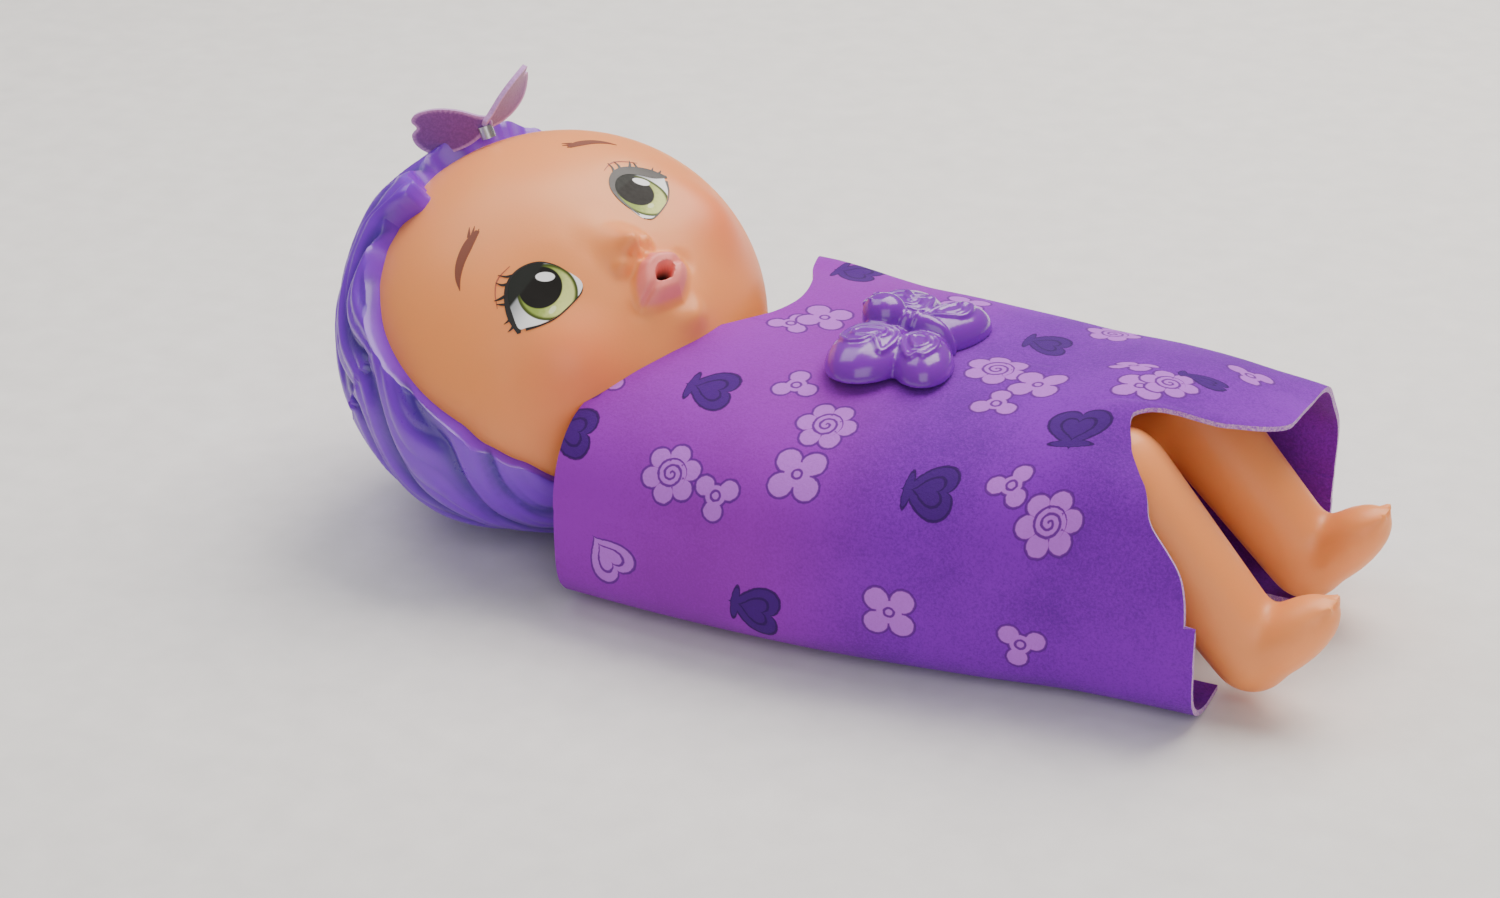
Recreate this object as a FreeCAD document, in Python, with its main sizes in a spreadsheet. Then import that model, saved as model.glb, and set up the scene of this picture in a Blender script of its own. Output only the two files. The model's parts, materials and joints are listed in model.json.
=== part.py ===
import FreeCAD, Part
import math
import os
import re
import Sketcher

# Interactive baby doll lying on its back in a felt swaddle. Millimetres.
# +X points to the feet, +Y to the doll's left, +Z up. The origin is on the floor, under the middle of the whole.
# Places along X are measured from the waist while the doll is drawn, and all is moved by waist_at at the end.

SIZES = {
    "waist_at": 6.3,
    # Torso: an egg-shaped shell in two halves, lofted through four oval stations along X.
    "torso_up": 34, "torso_down": 58, "torso_middle": 31, "torso_wall": 2,
    "shoulder_wide": 54, "shoulder_deep": 40,
    "chest_at": -8, "chest_wide": 72, "chest_deep": 56,
    "tummy_at": 24, "tummy_wide": 74, "tummy_deep": 57,
    "seat_wide": 48, "seat_deep": 34,
    "crotch_wide": 25, "leg_bay_at": 31, "torso_room": 70,
    "post_radius": 4.4, "post_side": 27, "post_up": 8, "post_down": 22,
    "screw_radius": 1.25, "screw_head_radius": 2.4, "screw_head_deep": 1.6,
    "screw_seat": 16, "screw_bite": 7, "screw_room": 0.25,
    # Swivel plugs of the arms and legs.
    "plug_radius": 6, "plug_flange_radius": 9, "plug_flange_deep": 2, "run_gap": 0.08,
    "side_gap": 0.3, "plug_bite": 8,
    "arm_at": -28, "arm_high": 38.5, "arm_boss_side": 37, "arm_boss_radius": 11.5,
    "arm_boss_deep": 7.2, "arm_side": 44.5, "arm_ball": 11.5,
    "elbow_at": 2, "elbow_side": 47.5, "elbow_high": 31, "elbow_radius": 9.5,
    "hand_at": 30, "hand_side": 46.5, "hand_high": 33, "hand_radius": 8.5,
    "hip_at": 46, "hip_high": 24, "hip_side": 27.5, "hip_ball": 14.5,
    "knee_at": 76, "knee_side": 24, "knee_high": 52.5, "knee_radius": 12.5,
    "ankle_at": 112, "ankle_side": 25, "ankle_high": 14, "ankle_radius": 10.5,
    "foot_long": 36, "foot_wide": 19, "foot_deep": 16, "foot_tilt": 46,
    # Head: an egg of vinyl on a tilted neck, turned to the doll's right.
    "head_back": 89.1, "head_high": 51.5, "neck_tilt": 25, "head_turn": 20.4,
    "face_radius": 44.5, "cheek_radius": 58.5, "crown_radius": 54, "skin_wall": 2.5,
    "hair_deep": 3.5, "hairline": 11.5, "hairline_turn": 6, "nape": 38,
    "nose_out": 42, "nose_low": 11.5, "nose_radius": 6.5, "nose_tall": 5.5,
    "neck_radius": 8, "neck_bore": 2.4, "neck_flange_radius": 11, "neck_flange_deep": 2,
    "collar_radius": 12, "collar_top": 52.6, "neck_top": 36,
    "ring_radius": 16.9, "ring_flange_radius": 20, "ring_low": 52, "ring_flange_low": 45,
    "ring_flange_top": 43, "clip_low": 41.2, "clip_deep": 1.5, "clip_radius": 11.5, "clip_groove": 1,
    # Mouth: a tube behind the lips that takes the teat of a toy bottle.
    "mouth_low": 23, "lips_out": 45.5, "lips_radius": 9, "lips_tip_radius": 7, "mouth_radius": 3.5,
    "cup_radius": 6, "cup_front": 28.6, "cup_back": 16, "cup_end": 2, "mouth_block_back": 21, "lips_back": 38,
    "chamber_radius": 4,
    "plunger_front": 28, "plunger_deep": 2, "stem_radius": 1.5, "stem_back": 12.5,
    "mouth_switch_back": 5.5, "mouth_switch_long": 5, "mouth_switch_wide": 7,
    # Swaddle: stiff felt, a closed oval tube but for a gap along the back.
    "felt": 1.5, "wrap_middle": 30, "back_gap": 60, "wrap_end": 60, "skirt_end": 112, "seam_gap": 0.3,
    "wrap_flat": 1, "neck_side_wide": 59.5, "neck_side_high": 62, "arms_wide": 61.5, "arms_high": 62.5,
    "middle_wide": 60.5, "middle_high": 63.5, "hips_wide": 55.5, "hips_high": 66.5,
    "knees_wide": 50.5, "knees_high": 71.3, "hem_wide": 49, "hem_high": 64,
    "strap_wide": 10, "strap_thick": 0.8, "strap_long": 72, "strap_up": 40, "strap_down": 48.5,
    # Clasp on the chest.
    "clasp_at": 10, "clasp_base": 64.6, "clasp_tilt": 2.2, "clasp_stem_radius": 2, "clasp_stem_end": 60.8,
    "plate_long": 22, "plate_wide": 20, "plate_thick": 0.8, "plate_base": 60.7,
    # Battery tray, moulded into the back shell.
    "cell_long": 44.5, "cell_radius": 5.25, "cell_pitch": 11.1, "contact_thick": 0.4, "cell_spring_long": 3.5,
    "tray_end": 29, "tray_wall": 1.5, "tray_rim": 4.5, "tray_base": 2, "tray_room": 0.4,
    "door_thick": 1.8, "door_proud": 0.4, "door_ledge": 1.3, "door_gap": 0.2,
    "tab_long": 8.6, "tab_wide": 10, "block_long": 8.1, "door_screw_long": 10,
    # Power switch beside the battery door's screw.
    "slider_side": 13, "slider_long": 3.8, "slider_wide": 3, "slider_flange_long": 5, "slider_flange_wide": 4.6,
    "slider_low": 1.3, "slider_flange_at": 4.7, "slider_top": 5.9, "slider_travel": 1.5,
    "switch_long": 8, "switch_wide": 5, "switch_deep": 5,
    # Circuit board and what sits on it.
    "board_base": 40.4, "board_thick": 1.6, "board_from": -18, "board_to": 20, "board_wide": 40,
    "board_post_radius": 2.6, "board_screw_radius": 0.9, "board_screw_head": 1.8, "board_screw_bite": 4,
    "board_screw_side": 15, "board_screw_in": 4,
    # Tummy button.
    "button_at": 8, "button_radius": 8, "button_top": 60.3, "button_flange_radius": 9.6,
    "button_flange_at": 50, "button_flange_deep": 1.5, "button_skin": 2, "button_pin": 1.8,
    "button_travel": 2, "guide_radius": 11.5, "coil_radius": 7.6, "coil_wire": 0.35,
    "key_wide": 6, "key_deep": 4.5, "key_tip_radius": 1.7, "key_tip": 1.2,
    # Speaker under the tummy.
    "speaker_at": 32, "speaker_radius": 10, "speaker_base": 49, "speaker_deep": 3.5,
    "magnet_radius": 6, "magnet_deep": 5, "ring_from": 51, "ring_wall": 1.4, "grille_hole": 1,
    "grille_circle": 5,
    # Cables.
    "cable_radius": 1.4, "wire_radius": 0.8, "thin_wire_radius": 0.5, "connector_wide": 5, "connector_long": 6,
    "connector_low": 30,
    # Bow.
    "wing_long": 19, "wing_wide": 12, "wing_thick": 1.8, "rivet_radius": 2, "rivet_long": 3.4,
}

doc = FreeCAD.newDocument("baby_doll")
sheet = doc.addObject("Spreadsheet::Sheet", "sizes")
for row, (name, value) in enumerate(SIZES.items(), 1):
    sheet.set(f"A{row}", name)
    sheet.set(f"B{row}", str(value))
    sheet.setAlias(f"B{row}", name)
doc.recompute()

VEC = FreeCAD.Vector
ACROSS = FreeCAD.Rotation(VEC(1, 0, 0), -90)
FEETWARD = FreeCAD.Rotation(VEC(0, 1, 0), 90)
SIDES = {"left": 1, "right": -1}
FAR = 200
nodes = []


def size(name):
    """One driving dimension, read from the sheet."""
    return float(sheet.get(name))


def bind(thing, **texts):
    """Tie properties to the sheet: a text holds names of cells and plain arithmetic."""
    for prop, text in texts.items():
        tied = re.sub("[a-z_]+", lambda m: "sizes." + m.group() if m.group() in SIZES else m.group(), text)
        thing.setExpression(prop, tied)
    return thing


def at(x=0.0, y=0.0, z=0.0, turned=None):
    return FreeCAD.Placement(VEC(x, y, z), turned or FreeCAD.Rotation())


def primitive(kind, label, place, **texts):
    thing = doc.addObject("Part::" + kind, label)
    thing.Label = label
    bind(thing, **texts)
    thing.Placement = place
    return thing


def cylinder(label, radius, height, place):
    return primitive("Cylinder", label, place, Radius=radius, Height=height)


def box(label, long, wide, high, place):
    """A box centred on its placement in X and Y, rising from it in Z."""
    thing = primitive("Box", label, place, Length=long, Width=wide, Height=high)
    doc.recompute([thing])
    shift = VEC(-thing.Length.Value / 2, -thing.Width.Value / 2, 0)
    thing.Placement = place.multiply(FreeCAD.Placement(shift, FreeCAD.Rotation()))
    return thing


def slab(label, low, high):
    """A plain box between two corners, for trimming."""
    thing = doc.addObject("Part::Box", label)
    thing.Length, thing.Width, thing.Height = [b - a for a, b in zip(low, high)]
    thing.Placement = at(*low)
    return thing


def egg(label, x_radius, y_radius, z_radius, place):
    return primitive("Ellipsoid", label, place, Radius1=z_radius, Radius2=x_radius, Radius3=y_radius)


def cut(label, base, *tools):
    for step, tool in enumerate(tools):
        thing = doc.addObject("Part::Cut", label if step == len(tools) - 1 else label + "_cut")
        thing.Base, thing.Tool = base, tool
        base = thing
    base.Label = label
    return base


def fuse(label, *shapes):
    thing = doc.addObject("Part::MultiFuse", label)
    thing.Shapes = list(shapes)
    thing.Label = label
    return thing


def common(label, base, tool):
    thing = doc.addObject("Part::Common", label)
    thing.Base, thing.Tool = base, tool
    thing.Label = label
    return thing


def feature(label, shape, place=None):
    thing = doc.addObject("Part::Feature", label)
    thing.Shape = shape
    thing.Label = label
    if place:
        thing.Placement = place
    return thing


def node(thing):
    """Keep an object as a sub-part; its label is the name of its file."""
    nodes.append(thing)
    return thing


def group(label, things):
    """Several like solids that share one node."""
    thing = doc.addObject("Part::Compound", label)
    thing.Links = list(things)
    thing.Label = label
    return node(thing)


# ---- PartDesign bodies -------------------------------------------------------------------------

def new_body(label, place):
    body = doc.addObject("PartDesign::Body", label)
    body.Label = label
    body.Placement = place
    return body


def sketch(body, role, name, up=None):
    """A sketch on one of the body's own planes, raised by a text of the sheet."""
    outline = body.newObject("Sketcher::SketchObject", name)
    plane = [item for item in body.Origin.OriginFeatures if item.Role == role][0]
    outline.AttachmentSupport = (plane, [""])
    outline.MapMode = "FlatFace"
    if up:
        bind(outline, **{"AttachmentOffset.Base.z": up})
    return outline


def tie(outline, kind, *terms, text):
    """A sketch dimension that follows the sheet."""
    number = outline.addConstraint(Sketcher.Constraint(kind, *terms, 1.0))
    label = f"{kind}_{number}".lower()
    outline.renameConstraint(number, label)
    bind(outline, **{"Constraints." + label: text})


def draw_rectangle(outline, long, wide):
    """A rectangle about the sketch's origin."""
    corners = [VEC(-9, -7, 0), VEC(9, -7, 0), VEC(9, 7, 0), VEC(-9, 7, 0)]
    for start, end in zip(corners, corners[1:] + corners[:1]):
        outline.addGeometry(Part.LineSegment(start, end), False)
    for side in range(4):
        outline.addConstraint(Sketcher.Constraint("Coincident", side, 2, (side + 1) % 4, 1))
        outline.addConstraint(Sketcher.Constraint("Vertical" if side % 2 else "Horizontal", side))
    outline.addConstraint(Sketcher.Constraint("Symmetric", 0, 1, 2, 1, -1, 1))
    tie(outline, "Distance", 0, text=long)
    tie(outline, "Distance", 1, text=wide)


def draw_oval(outline, wide, deep):
    """An ellipse about the sketch's origin, its long axis level."""
    outline.addGeometry(Part.Ellipse(VEC(0, 0, 0), 20, 10), False)
    outline.exposeInternalGeometry(0)
    outline.addConstraint(Sketcher.Constraint("Coincident", 0, 3, -1, 1))
    outline.addConstraint(Sketcher.Constraint("Horizontal", 1))
    tie(outline, "Distance", 1, 1, 1, 2, text=wide)
    tie(outline, "Distance", 2, 1, 2, 2, text=deep)


def plate(label, long, wide, thick, place, hole_radius=None, holes=()):
    """A padded rectangle, with round holes pocketed through it at points about its centre."""
    body = new_body(label, place)
    outline = sketch(body, "XY_Plane", label + "_outline")
    draw_rectangle(outline, long, wide)
    pad = body.newObject("PartDesign::Pad", label + "_pad")
    pad.Profile = outline
    bind(pad, Length=thick)
    if holes:
        drill = sketch(body, "XY_Plane", label + "_holes")
        for x, y in holes:
            number = drill.addGeometry(Part.Circle(VEC(x, y, 0), VEC(0, 0, 1), 1), False)
            tie(drill, "Radius", number, text=hole_radius)
        pocket = body.newObject("PartDesign::Pocket", label + "_pocket")
        pocket.Profile = drill
        pocket.Type = "ThroughAll"
        pocket.Midplane = True
    return body


def turned(label, profile, place):
    """A solid turned about its own Z axis from a closed outline of (radius, height) points."""
    body = new_body(label, place)
    outline = sketch(body, "XZ_Plane", label + "_outline")
    points = [VEC(radius, height, 0) for radius, height in profile]
    for start, end in zip(points, points[1:] + points[:1]):
        outline.addGeometry(Part.LineSegment(start, end), False)
    spin = body.newObject("PartDesign::Revolution", label + "_spin")
    spin.Profile = outline
    spin.ReferenceAxis = (outline, ["V_Axis"])
    spin.Angle = 360
    return body


def coil(label, radius, height, wire, turns, place):
    """A real coil: a round wire swept along a helix that is bound to the sheet."""
    helix = doc.addObject("Part::Helix", label + "_line")
    bind(helix, Radius=radius, Height=f"{height} - 2 * ({wire})", Pitch=f"({height} - 2 * ({wire})) / {turns}")
    ring = doc.addObject("Part::Circle", label + "_wire")
    bind(ring, Radius=wire)
    doc.recompute([helix, ring])
    ring.Placement = at(helix.Radius.Value, 0, 0, FreeCAD.Rotation(VEC(1, 0, 0), 90))
    sweep = doc.addObject("Part::Sweep", label)
    sweep.Sections = [ring]
    sweep.Spine = (helix, ["Edge1"])
    sweep.Solid = True
    sweep.Frenet = True
    sweep.Label = label
    lift = FreeCAD.Placement(VEC(0, 0, ring.Radius.Value), FreeCAD.Rotation())
    sweep.Placement = place.multiply(lift)
    return sweep


def tube(label, points, radius, place=None):
    """A wire or cable: straight runs joined by tangent arcs as large as the runs allow."""
    points = [VEC(*point) for point in points]
    edges = []
    start = points[0]
    for before, corner, after in zip(points, points[1:], points[2:]):
        into = (corner - before).normalize()
        out = (after - corner).normalize()
        turn = into.getAngle(out)
        shorter = min((corner - before).Length, (after - corner).Length)
        reach = 0.45 * shorter
        arc_radius = reach / math.tan(turn / 2)
        print(f"{label}: arc radius {arc_radius:.1f}")
        arc_start = corner - into * reach
        arc_end = corner + out * reach
        toward = (out - into).normalize()
        middle = corner + toward * (arc_radius / math.cos(turn / 2) - arc_radius)
        edges += [Part.LineSegment(start, arc_start).toShape(), Part.Arc(arc_start, middle, arc_end).toShape()]
        start = arc_end
    edges.append(Part.LineSegment(start, points[-1]).toShape())
    path = Part.Wire(edges)
    way = (points[1] - points[0]).normalize()
    ring = Part.Wire(Part.makeCircle(radius, points[0], way))
    pipe = path.makePipeShell([ring], True, True)
    return feature(label, pipe, place)


# ---- Torso -------------------------------------------------------------------------------------

def torso_loft(label, inset):
    """The torso's oval loft, drawn in by a text of the sheet."""
    body = new_body(label, at(z=size("torso_middle")))
    stations = [(f"-torso_up + ({inset})", "shoulder_wide", "shoulder_deep"),
                ("chest_at", "chest_wide", "chest_deep"),
                ("tummy_at", "tummy_wide", "tummy_deep"),
                (f"torso_down - ({inset})", "seat_wide", "seat_deep")]
    ovals = []
    for number, (along, wide, deep) in enumerate(stations):
        outline = sketch(body, "YZ_Plane", f"{label}_{number}", up=along)
        draw_oval(outline, f"{wide} - 2 * ({inset})", f"{deep} - 2 * ({inset})")
        ovals.append(outline)
    loft = body.newObject("PartDesign::AdditiveLoft", label + "_loft")
    loft.Profile = ovals[0]
    loft.Sections = ovals[1:]
    return body


def both_sides(label, long, wide, high, x, y, z):
    """A pair of boxes mirrored across the middle of the body, from half width y outwards."""
    pair = []
    for side, sign in SIDES.items():
        middle = sign * (y + FAR / 2)
        pair.append(box(f"{label}_{side}", long, wide, high, at(x, middle, z)))
    return pair


def along_y(label, radius, x, z, half):
    """A cylinder across the body, reaching the same distance to both sides."""
    thing = cylinder(label, radius, "1", at(x, -half, z, ACROSS))
    bind(thing, Height=f"{2 * half}")
    return thing


neck_turn = FreeCAD.Rotation(VEC(0, 1, 0), size("neck_tilt") - 90)
NECK = at(-size("head_back"), 0, size("head_high"), neck_turn)
HEAD = NECK.multiply(at(turned=FreeCAD.Rotation(VEC(0, 0, 1), -size("head_turn"))))


def on_neck(x=0.0, y=0.0, z=0.0, turn=None):
    """A place in the neck's own axes: x out of the face, y to the left, z to the crown."""
    return NECK.multiply(at(x, y, z, turn))


def on_head(x=0.0, y=0.0, z=0.0, turn=None):
    """The same for the head, which is turned about the neck."""
    return HEAD.multiply(at(x, y, z, turn))


def post_places():
    return [(x, y) for x in (-size("post_up"), size("post_down"))
            for y in (-size("post_side"), size("post_side"))]


def board_places():
    low = size("board_from") + size("board_screw_in")
    high = size("board_to") - size("board_screw_in")
    return [(x, y) for x in (low, high) for y in (-size("board_screw_side"), size("board_screw_side"))]


def tray_sizes():
    """Places of the battery tray, worked out from the cells."""
    tray = {"high_x": size("tray_end")}
    tray["low_x"] = tray["high_x"] - size("cell_long") - 2 * size("contact_thick") - size("cell_spring_long")
    tray["half"] = size("cell_pitch") + size("cell_radius") + size("tray_room")
    tray["door_top"] = size("tray_base") - size("door_proud") + size("door_thick")
    tray["cell_z"] = tray["door_top"] + size("tray_room") + size("cell_radius")
    tray["top"] = tray["cell_z"] + size("cell_radius") + size("tray_room")
    tray["block_low"] = tray["low_x"] - size("tray_wall") - size("block_long")
    tray["screw_x"] = tray["low_x"] - size("tray_wall") - size("block_long") / 2
    return tray


def cut_box(label, low_x, high_x, half, low_z, high_z, y=0.0):
    return slab(label, (low_x, y - half, low_z), (high_x, y + half, high_z))


def build_torso():
    wall = size("torso_wall")
    tray = tray_sizes()
    split = size("torso_middle")
    outside = torso_loft("torso_outside", "0")
    inside = torso_loft("torso_inside", "torso_wall")
    crotch = size("crotch_wide") / 2
    bay = size("leg_bay_at")
    bays = both_sides("leg_bay", f"{FAR}", f"{FAR}", f"{FAR}", bay + FAR / 2, crotch, -FAR / 2)
    walls = both_sides("bay_wall", f"{FAR}", f"{FAR}", f"{FAR}", bay - wall + FAR / 2, crotch - wall, -FAR / 2)
    outer = cut("torso_outer", outside, *bays)
    inner = cut("torso_inner", inside, *walls)
    shell = cut("torso_shell", outer, inner)

    inner_parts = []
    for x, y in post_places():
        inner_parts.append(cylinder("screw_post", "post_radius", "torso_room", at(x, y, 0)))
    for x, y in board_places():
        z = size("board_base") + size("board_thick")
        inner_parts.append(cylinder("board_post", "board_post_radius", "torso_room", at(x, y, z)))
    guide_z = size("button_flange_at") + size("button_flange_deep") + size("side_gap")
    inner_parts.append(cylinder("button_guide", "guide_radius", "torso_room", at(size("button_at"), 0, guide_z)))
    inner_parts.append(cylinder("speaker_wall", "speaker_radius + ring_wall", "torso_room",
                                at(size("speaker_at"), 0, size("ring_from"))))
    clipped = common("inner_parts", fuse("inner_parts_all", *inner_parts), outer)

    bosses = []
    for side, sign in SIDES.items():
        start = sign * (size("arm_boss_side") - size("arm_boss_deep") - 8)
        turn = FreeCAD.Rotation(VEC(1, 0, 0), -90 * sign)
        bosses.append(cylinder(f"arm_boss_{side}", "arm_boss_radius", "arm_boss_deep + 8",
                               at(size("arm_at"), start, size("arm_high"), turn)))
    block = cut_box("tray_block", tray["block_low"], tray["high_x"] + size("tray_wall"),
                    tray["half"] + size("tray_rim"), size("tray_base"), tray["top"] + size("tray_wall"))
    full = fuse("torso_full", shell, clipped, block, *bosses)

    holes = []
    run = "plug_radius + run_gap"
    seat_half = size("arm_boss_side") - size("arm_boss_deep")
    holes.append(along_y("arm_bore", run, size("arm_at"), size("arm_high"), FAR / 2))
    holes.append(along_y("arm_seat", "plug_flange_radius + 0.6", size("arm_at"), size("arm_high"), seat_half))
    holes.append(along_y("hip_bore", run, size("hip_at"), size("hip_high"), FAR / 2))
    holes.append(cylinder("neck_hole", "neck_radius + side_gap", "20", on_neck(z=-size("collar_top") - 16)))
    for x, y in post_places():
        holes.append(cylinder("screw_pocket", "screw_head_radius + 0.5", "screw_seat", at(x, y, 0)))
        holes.append(cylinder("screw_way", "screw_radius + screw_room", "torso_middle - screw_seat + 0.01",
                              at(x, y, size("screw_seat"))))
        holes.append(cylinder("screw_pilot", "screw_radius", "screw_bite", at(x, y, split)))
    for x, y in board_places():
        holes.append(cylinder("board_pilot", "board_screw_radius", "board_screw_bite + board_thick",
                              at(x, y, size("board_base"))))
    holes.append(cylinder("button_bore", "button_radius + run_gap", "torso_room", at(size("button_at"), 0, guide_z)))
    holes.append(cylinder("speaker_seat", "speaker_radius + 0.05", "speaker_deep",
                          at(size("speaker_at"), 0, size("speaker_base"))))
    holes.append(cylinder("grille_middle", "grille_hole", "torso_room",
                          at(size("speaker_at"), 0, size("speaker_base"))))
    for number in range(6):
        angle = math.radians(60 * number)
        holes.append(cylinder("grille", "grille_hole", "torso_room",
                              at(size("speaker_at") + size("grille_circle") * math.cos(angle),
                                 size("grille_circle") * math.sin(angle), size("speaker_base"))))
    holes += tray_holes(tray)
    hollow = cut("torso_hollow", full, fuse("torso_holes", *holes))
    node(common("torso_front", hollow, slab("front_half", (-FAR, -FAR, split), (FAR, FAR, FAR))))
    node(common("torso_back", hollow, slab("back_half", (-FAR, -FAR, -FAR), (FAR, FAR, split))))


def tray_holes(tray):
    """Everything that is cut into the battery tray's block."""
    gap = size("door_gap")
    door_half = tray["half"] + size("door_ledge") + gap
    high = tray["high_x"] + size("door_ledge") - size("door_gap")
    holes = [cut_box("tray_room", tray["low_x"], tray["high_x"], tray["half"], -1, tray["top"])]
    holes.append(cut_box("door_seat", tray["low_x"] - size("door_ledge") - gap, high + gap, door_half, -1,
                         tray["door_top"] + 0.1))
    holes.append(cut_box("tab_seat", tray["low_x"] - size("tab_long") - gap, tray["low_x"],
                         size("tab_wide") / 2 + gap, -1, tray["door_top"] + 0.1))
    holes.append(cylinder("door_pilot", "screw_radius + run_gap", "door_screw_long", at(tray["screw_x"], 0, 0)))
    slider_half = size("slider_long") / 2 + size("slider_travel") + 0.1
    side = size("slider_side")
    flange_half = max(size("switch_long"), size("slider_flange_long") + 2 * size("slider_travel")) / 2 + 0.1
    holes.append(slab("slider_slot", (tray["screw_x"] - size("slider_wide") / 2 - 0.1, side - slider_half, -1),
                      (tray["screw_x"] + size("slider_wide") / 2 + 0.1, side + slider_half, 8)))
    holes.append(slab("switch_room",
                      (tray["screw_x"] - size("switch_wide") / 2 - 0.1, side - flange_half,
                       size("slider_flange_at") - 0.2),
                      (tray["screw_x"] + size("switch_wide") / 2 + 0.1, side + flange_half, tray["top"] + 9)))
    return holes


def build_screws():
    head, deep = size("screw_head_radius"), size("screw_head_deep")
    shank = size("screw_radius")
    length = size("torso_middle") + size("screw_bite") - size("screw_seat")
    profile = [(0, -deep), (head * 0.7, -deep), (head, -deep * 0.6), (head, 0), (shank, 0),
               (shank, length - 1), (0, length)]
    screws = [turned("torso_screw", profile, at(x, y, size("screw_seat"))) for x, y in post_places()]
    group("torso_screws", screws)


# ---- Power: battery tray, cells, door, switch ----------------------------------------------------

def build_power():
    tray = tray_sizes()
    thick = size("contact_thick")
    cells, springs, contacts = [], [], []
    cell_low = tray["low_x"] + thick
    for number in (-1, 0, 1):
        y = number * size("cell_pitch")
        can = cylinder("cell_can", "cell_radius", "cell_long - 1", at(cell_low + 1, y, tray["cell_z"], FEETWARD))
        tip = cylinder("cell_tip", "1.9", "1", at(cell_low, y, tray["cell_z"], FEETWARD))
        cells.append(fuse("cell", can, tip))
        springs.append(coil("cell_spring", "cell_radius / 2", "cell_spring_long", "coil_wire", 3,
                            at(tray["high_x"] - thick - size("cell_spring_long"), y, tray["cell_z"], FEETWARD)))
    for x in (tray["low_x"] + thick / 2, tray["high_x"] - thick / 2):
        contacts.append(box("contact", "contact_thick", "2 * (cell_pitch + cell_radius)", "2 * cell_radius - 1",
                            at(x, 0, tray["cell_z"] - size("cell_radius") + 0.5)))
    group("batteries", cells)
    group("battery_springs", springs)
    group("battery_contacts", contacts)

    base = size("tray_base") - size("door_proud")
    low = tray["low_x"] - size("door_ledge")
    high = tray["high_x"] + size("door_ledge") - size("door_gap")
    door = slab("door_plate", (low, -tray["half"] - size("door_ledge"), base),
                (high, tray["half"] + size("door_ledge"), tray["door_top"]))
    bind(door, Height="door_thick", Width="2 * (cell_pitch + cell_radius + tray_room + door_ledge)")
    tab = slab("door_tab", (tray["low_x"] - size("tab_long"), -size("tab_wide") / 2, base),
               (low + 1, size("tab_wide") / 2, tray["door_top"]))
    bind(tab, Height="door_thick", Width="tab_wide")
    tabbed = fuse("door_tabbed", door, tab)
    screw_way = cylinder("door_screw_way", "screw_radius + screw_room", "10", at(tray["screw_x"], 0, 0))
    sink = cylinder("door_screw_sink", "screw_head_radius + 0.2", "1.5", at(tray["screw_x"], 0, base - 0.5))
    grips = [slab("door_grip", (high - 9 + 2.4 * step, -6, base - 1), (high - 8 + 2.4 * step, 6, base + 0.5))
             for step in range(3)]
    node(cut("battery_cover", tabbed, screw_way, sink, *grips))
    head, deep, shank = size("screw_head_radius"), 1.0, size("screw_radius")
    seat = base + 0.5
    profile = [(0, -0.4), (head * 0.8, -0.4), (head, 0), (head, 0.05), (shank, deep - 0.5), (shank, 6), (0, 7)]
    node(turned("cover_screw", profile, at(tray["screw_x"], 0, seat)))

    side = size("slider_side")
    stem = box("slider_stem", "slider_wide", "slider_long", "slider_top - slider_low",
               at(tray["screw_x"], side, size("slider_low")))
    foot = box("slider_foot", "slider_flange_wide", "slider_flange_long", "slider_top - slider_flange_at",
               at(tray["screw_x"], side, size("slider_flange_at")))
    node(fuse("power_slider", stem, foot))
    node(box("power_switch", "switch_wide", "switch_long", "switch_deep",
             at(tray["screw_x"], side, size("slider_top") + size("side_gap"))))


# ---- Electronics ---------------------------------------------------------------------------------

def build_board():
    middle = (size("board_from") + size("board_to")) / 2
    base = size("board_base")
    top = base + size("board_thick")
    holes = [(x - middle, y) for x, y in board_places()]
    node(plate("circuit_board", "board_to - board_from", "board_wide", "board_thick", at(middle, 0, base),
               "board_screw_radius + 0.1", holes))
    head, shank = size("board_screw_head"), size("board_screw_radius")
    length = size("board_thick") + size("board_screw_bite")
    profile = [(0, -1.2), (head, -1.2), (head, 0), (shank, 0), (shank, length - 0.8), (0, length)]
    group("board_screws", [turned("board_screw", profile, at(x, y, base)) for x, y in board_places()])
    chips = [box("sound_chip", "7", "7", "1.4", at(-10, 4, top)),
             box("memory_chip", "5", "4", "1.2", at(-9, -7, top)),
             cylinder("capacitor", "2", "5", at(-4, 13, top)),
             box("resistors", "3", "6", "0.8", at(-4, -13, top))]
    group("board_chips", chips)
    body = box("key_body", "key_wide", "key_wide", "key_deep", at(size("button_at"), 0, top))
    tip = cylinder("key_tip", "key_tip_radius", "key_tip", at(size("button_at"), 0, top + size("key_deep")))
    node(fuse("tummy_switch", body, tip))


def build_button():
    low, deep = size("button_flange_at"), size("button_flange_deep")
    radius, skin, pin = size("button_radius"), size("button_skin"), size("button_pin")
    top = size("button_top")
    key_top = size("board_base") + size("board_thick") + size("key_deep") + size("key_tip")
    pin_end = key_top + size("button_travel") + 0.2
    inner = radius - skin
    profile = [(0, pin_end), (pin, pin_end), (pin, top - skin), (inner, top - skin), (inner, low),
               (size("button_flange_radius"), low), (size("button_flange_radius"), low + deep),
               (radius, low + deep), (radius, top - 1.2), (radius - 1.2, top), (0, top)]
    node(turned("tummy_button", profile, at(size("button_at"))))
    board_top = size("board_base") + size("board_thick")
    node(coil("tummy_spring", "coil_radius", "button_flange_at - board_base - board_thick", "coil_wire", 4,
              at(size("button_at"), 0, board_top)))


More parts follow.
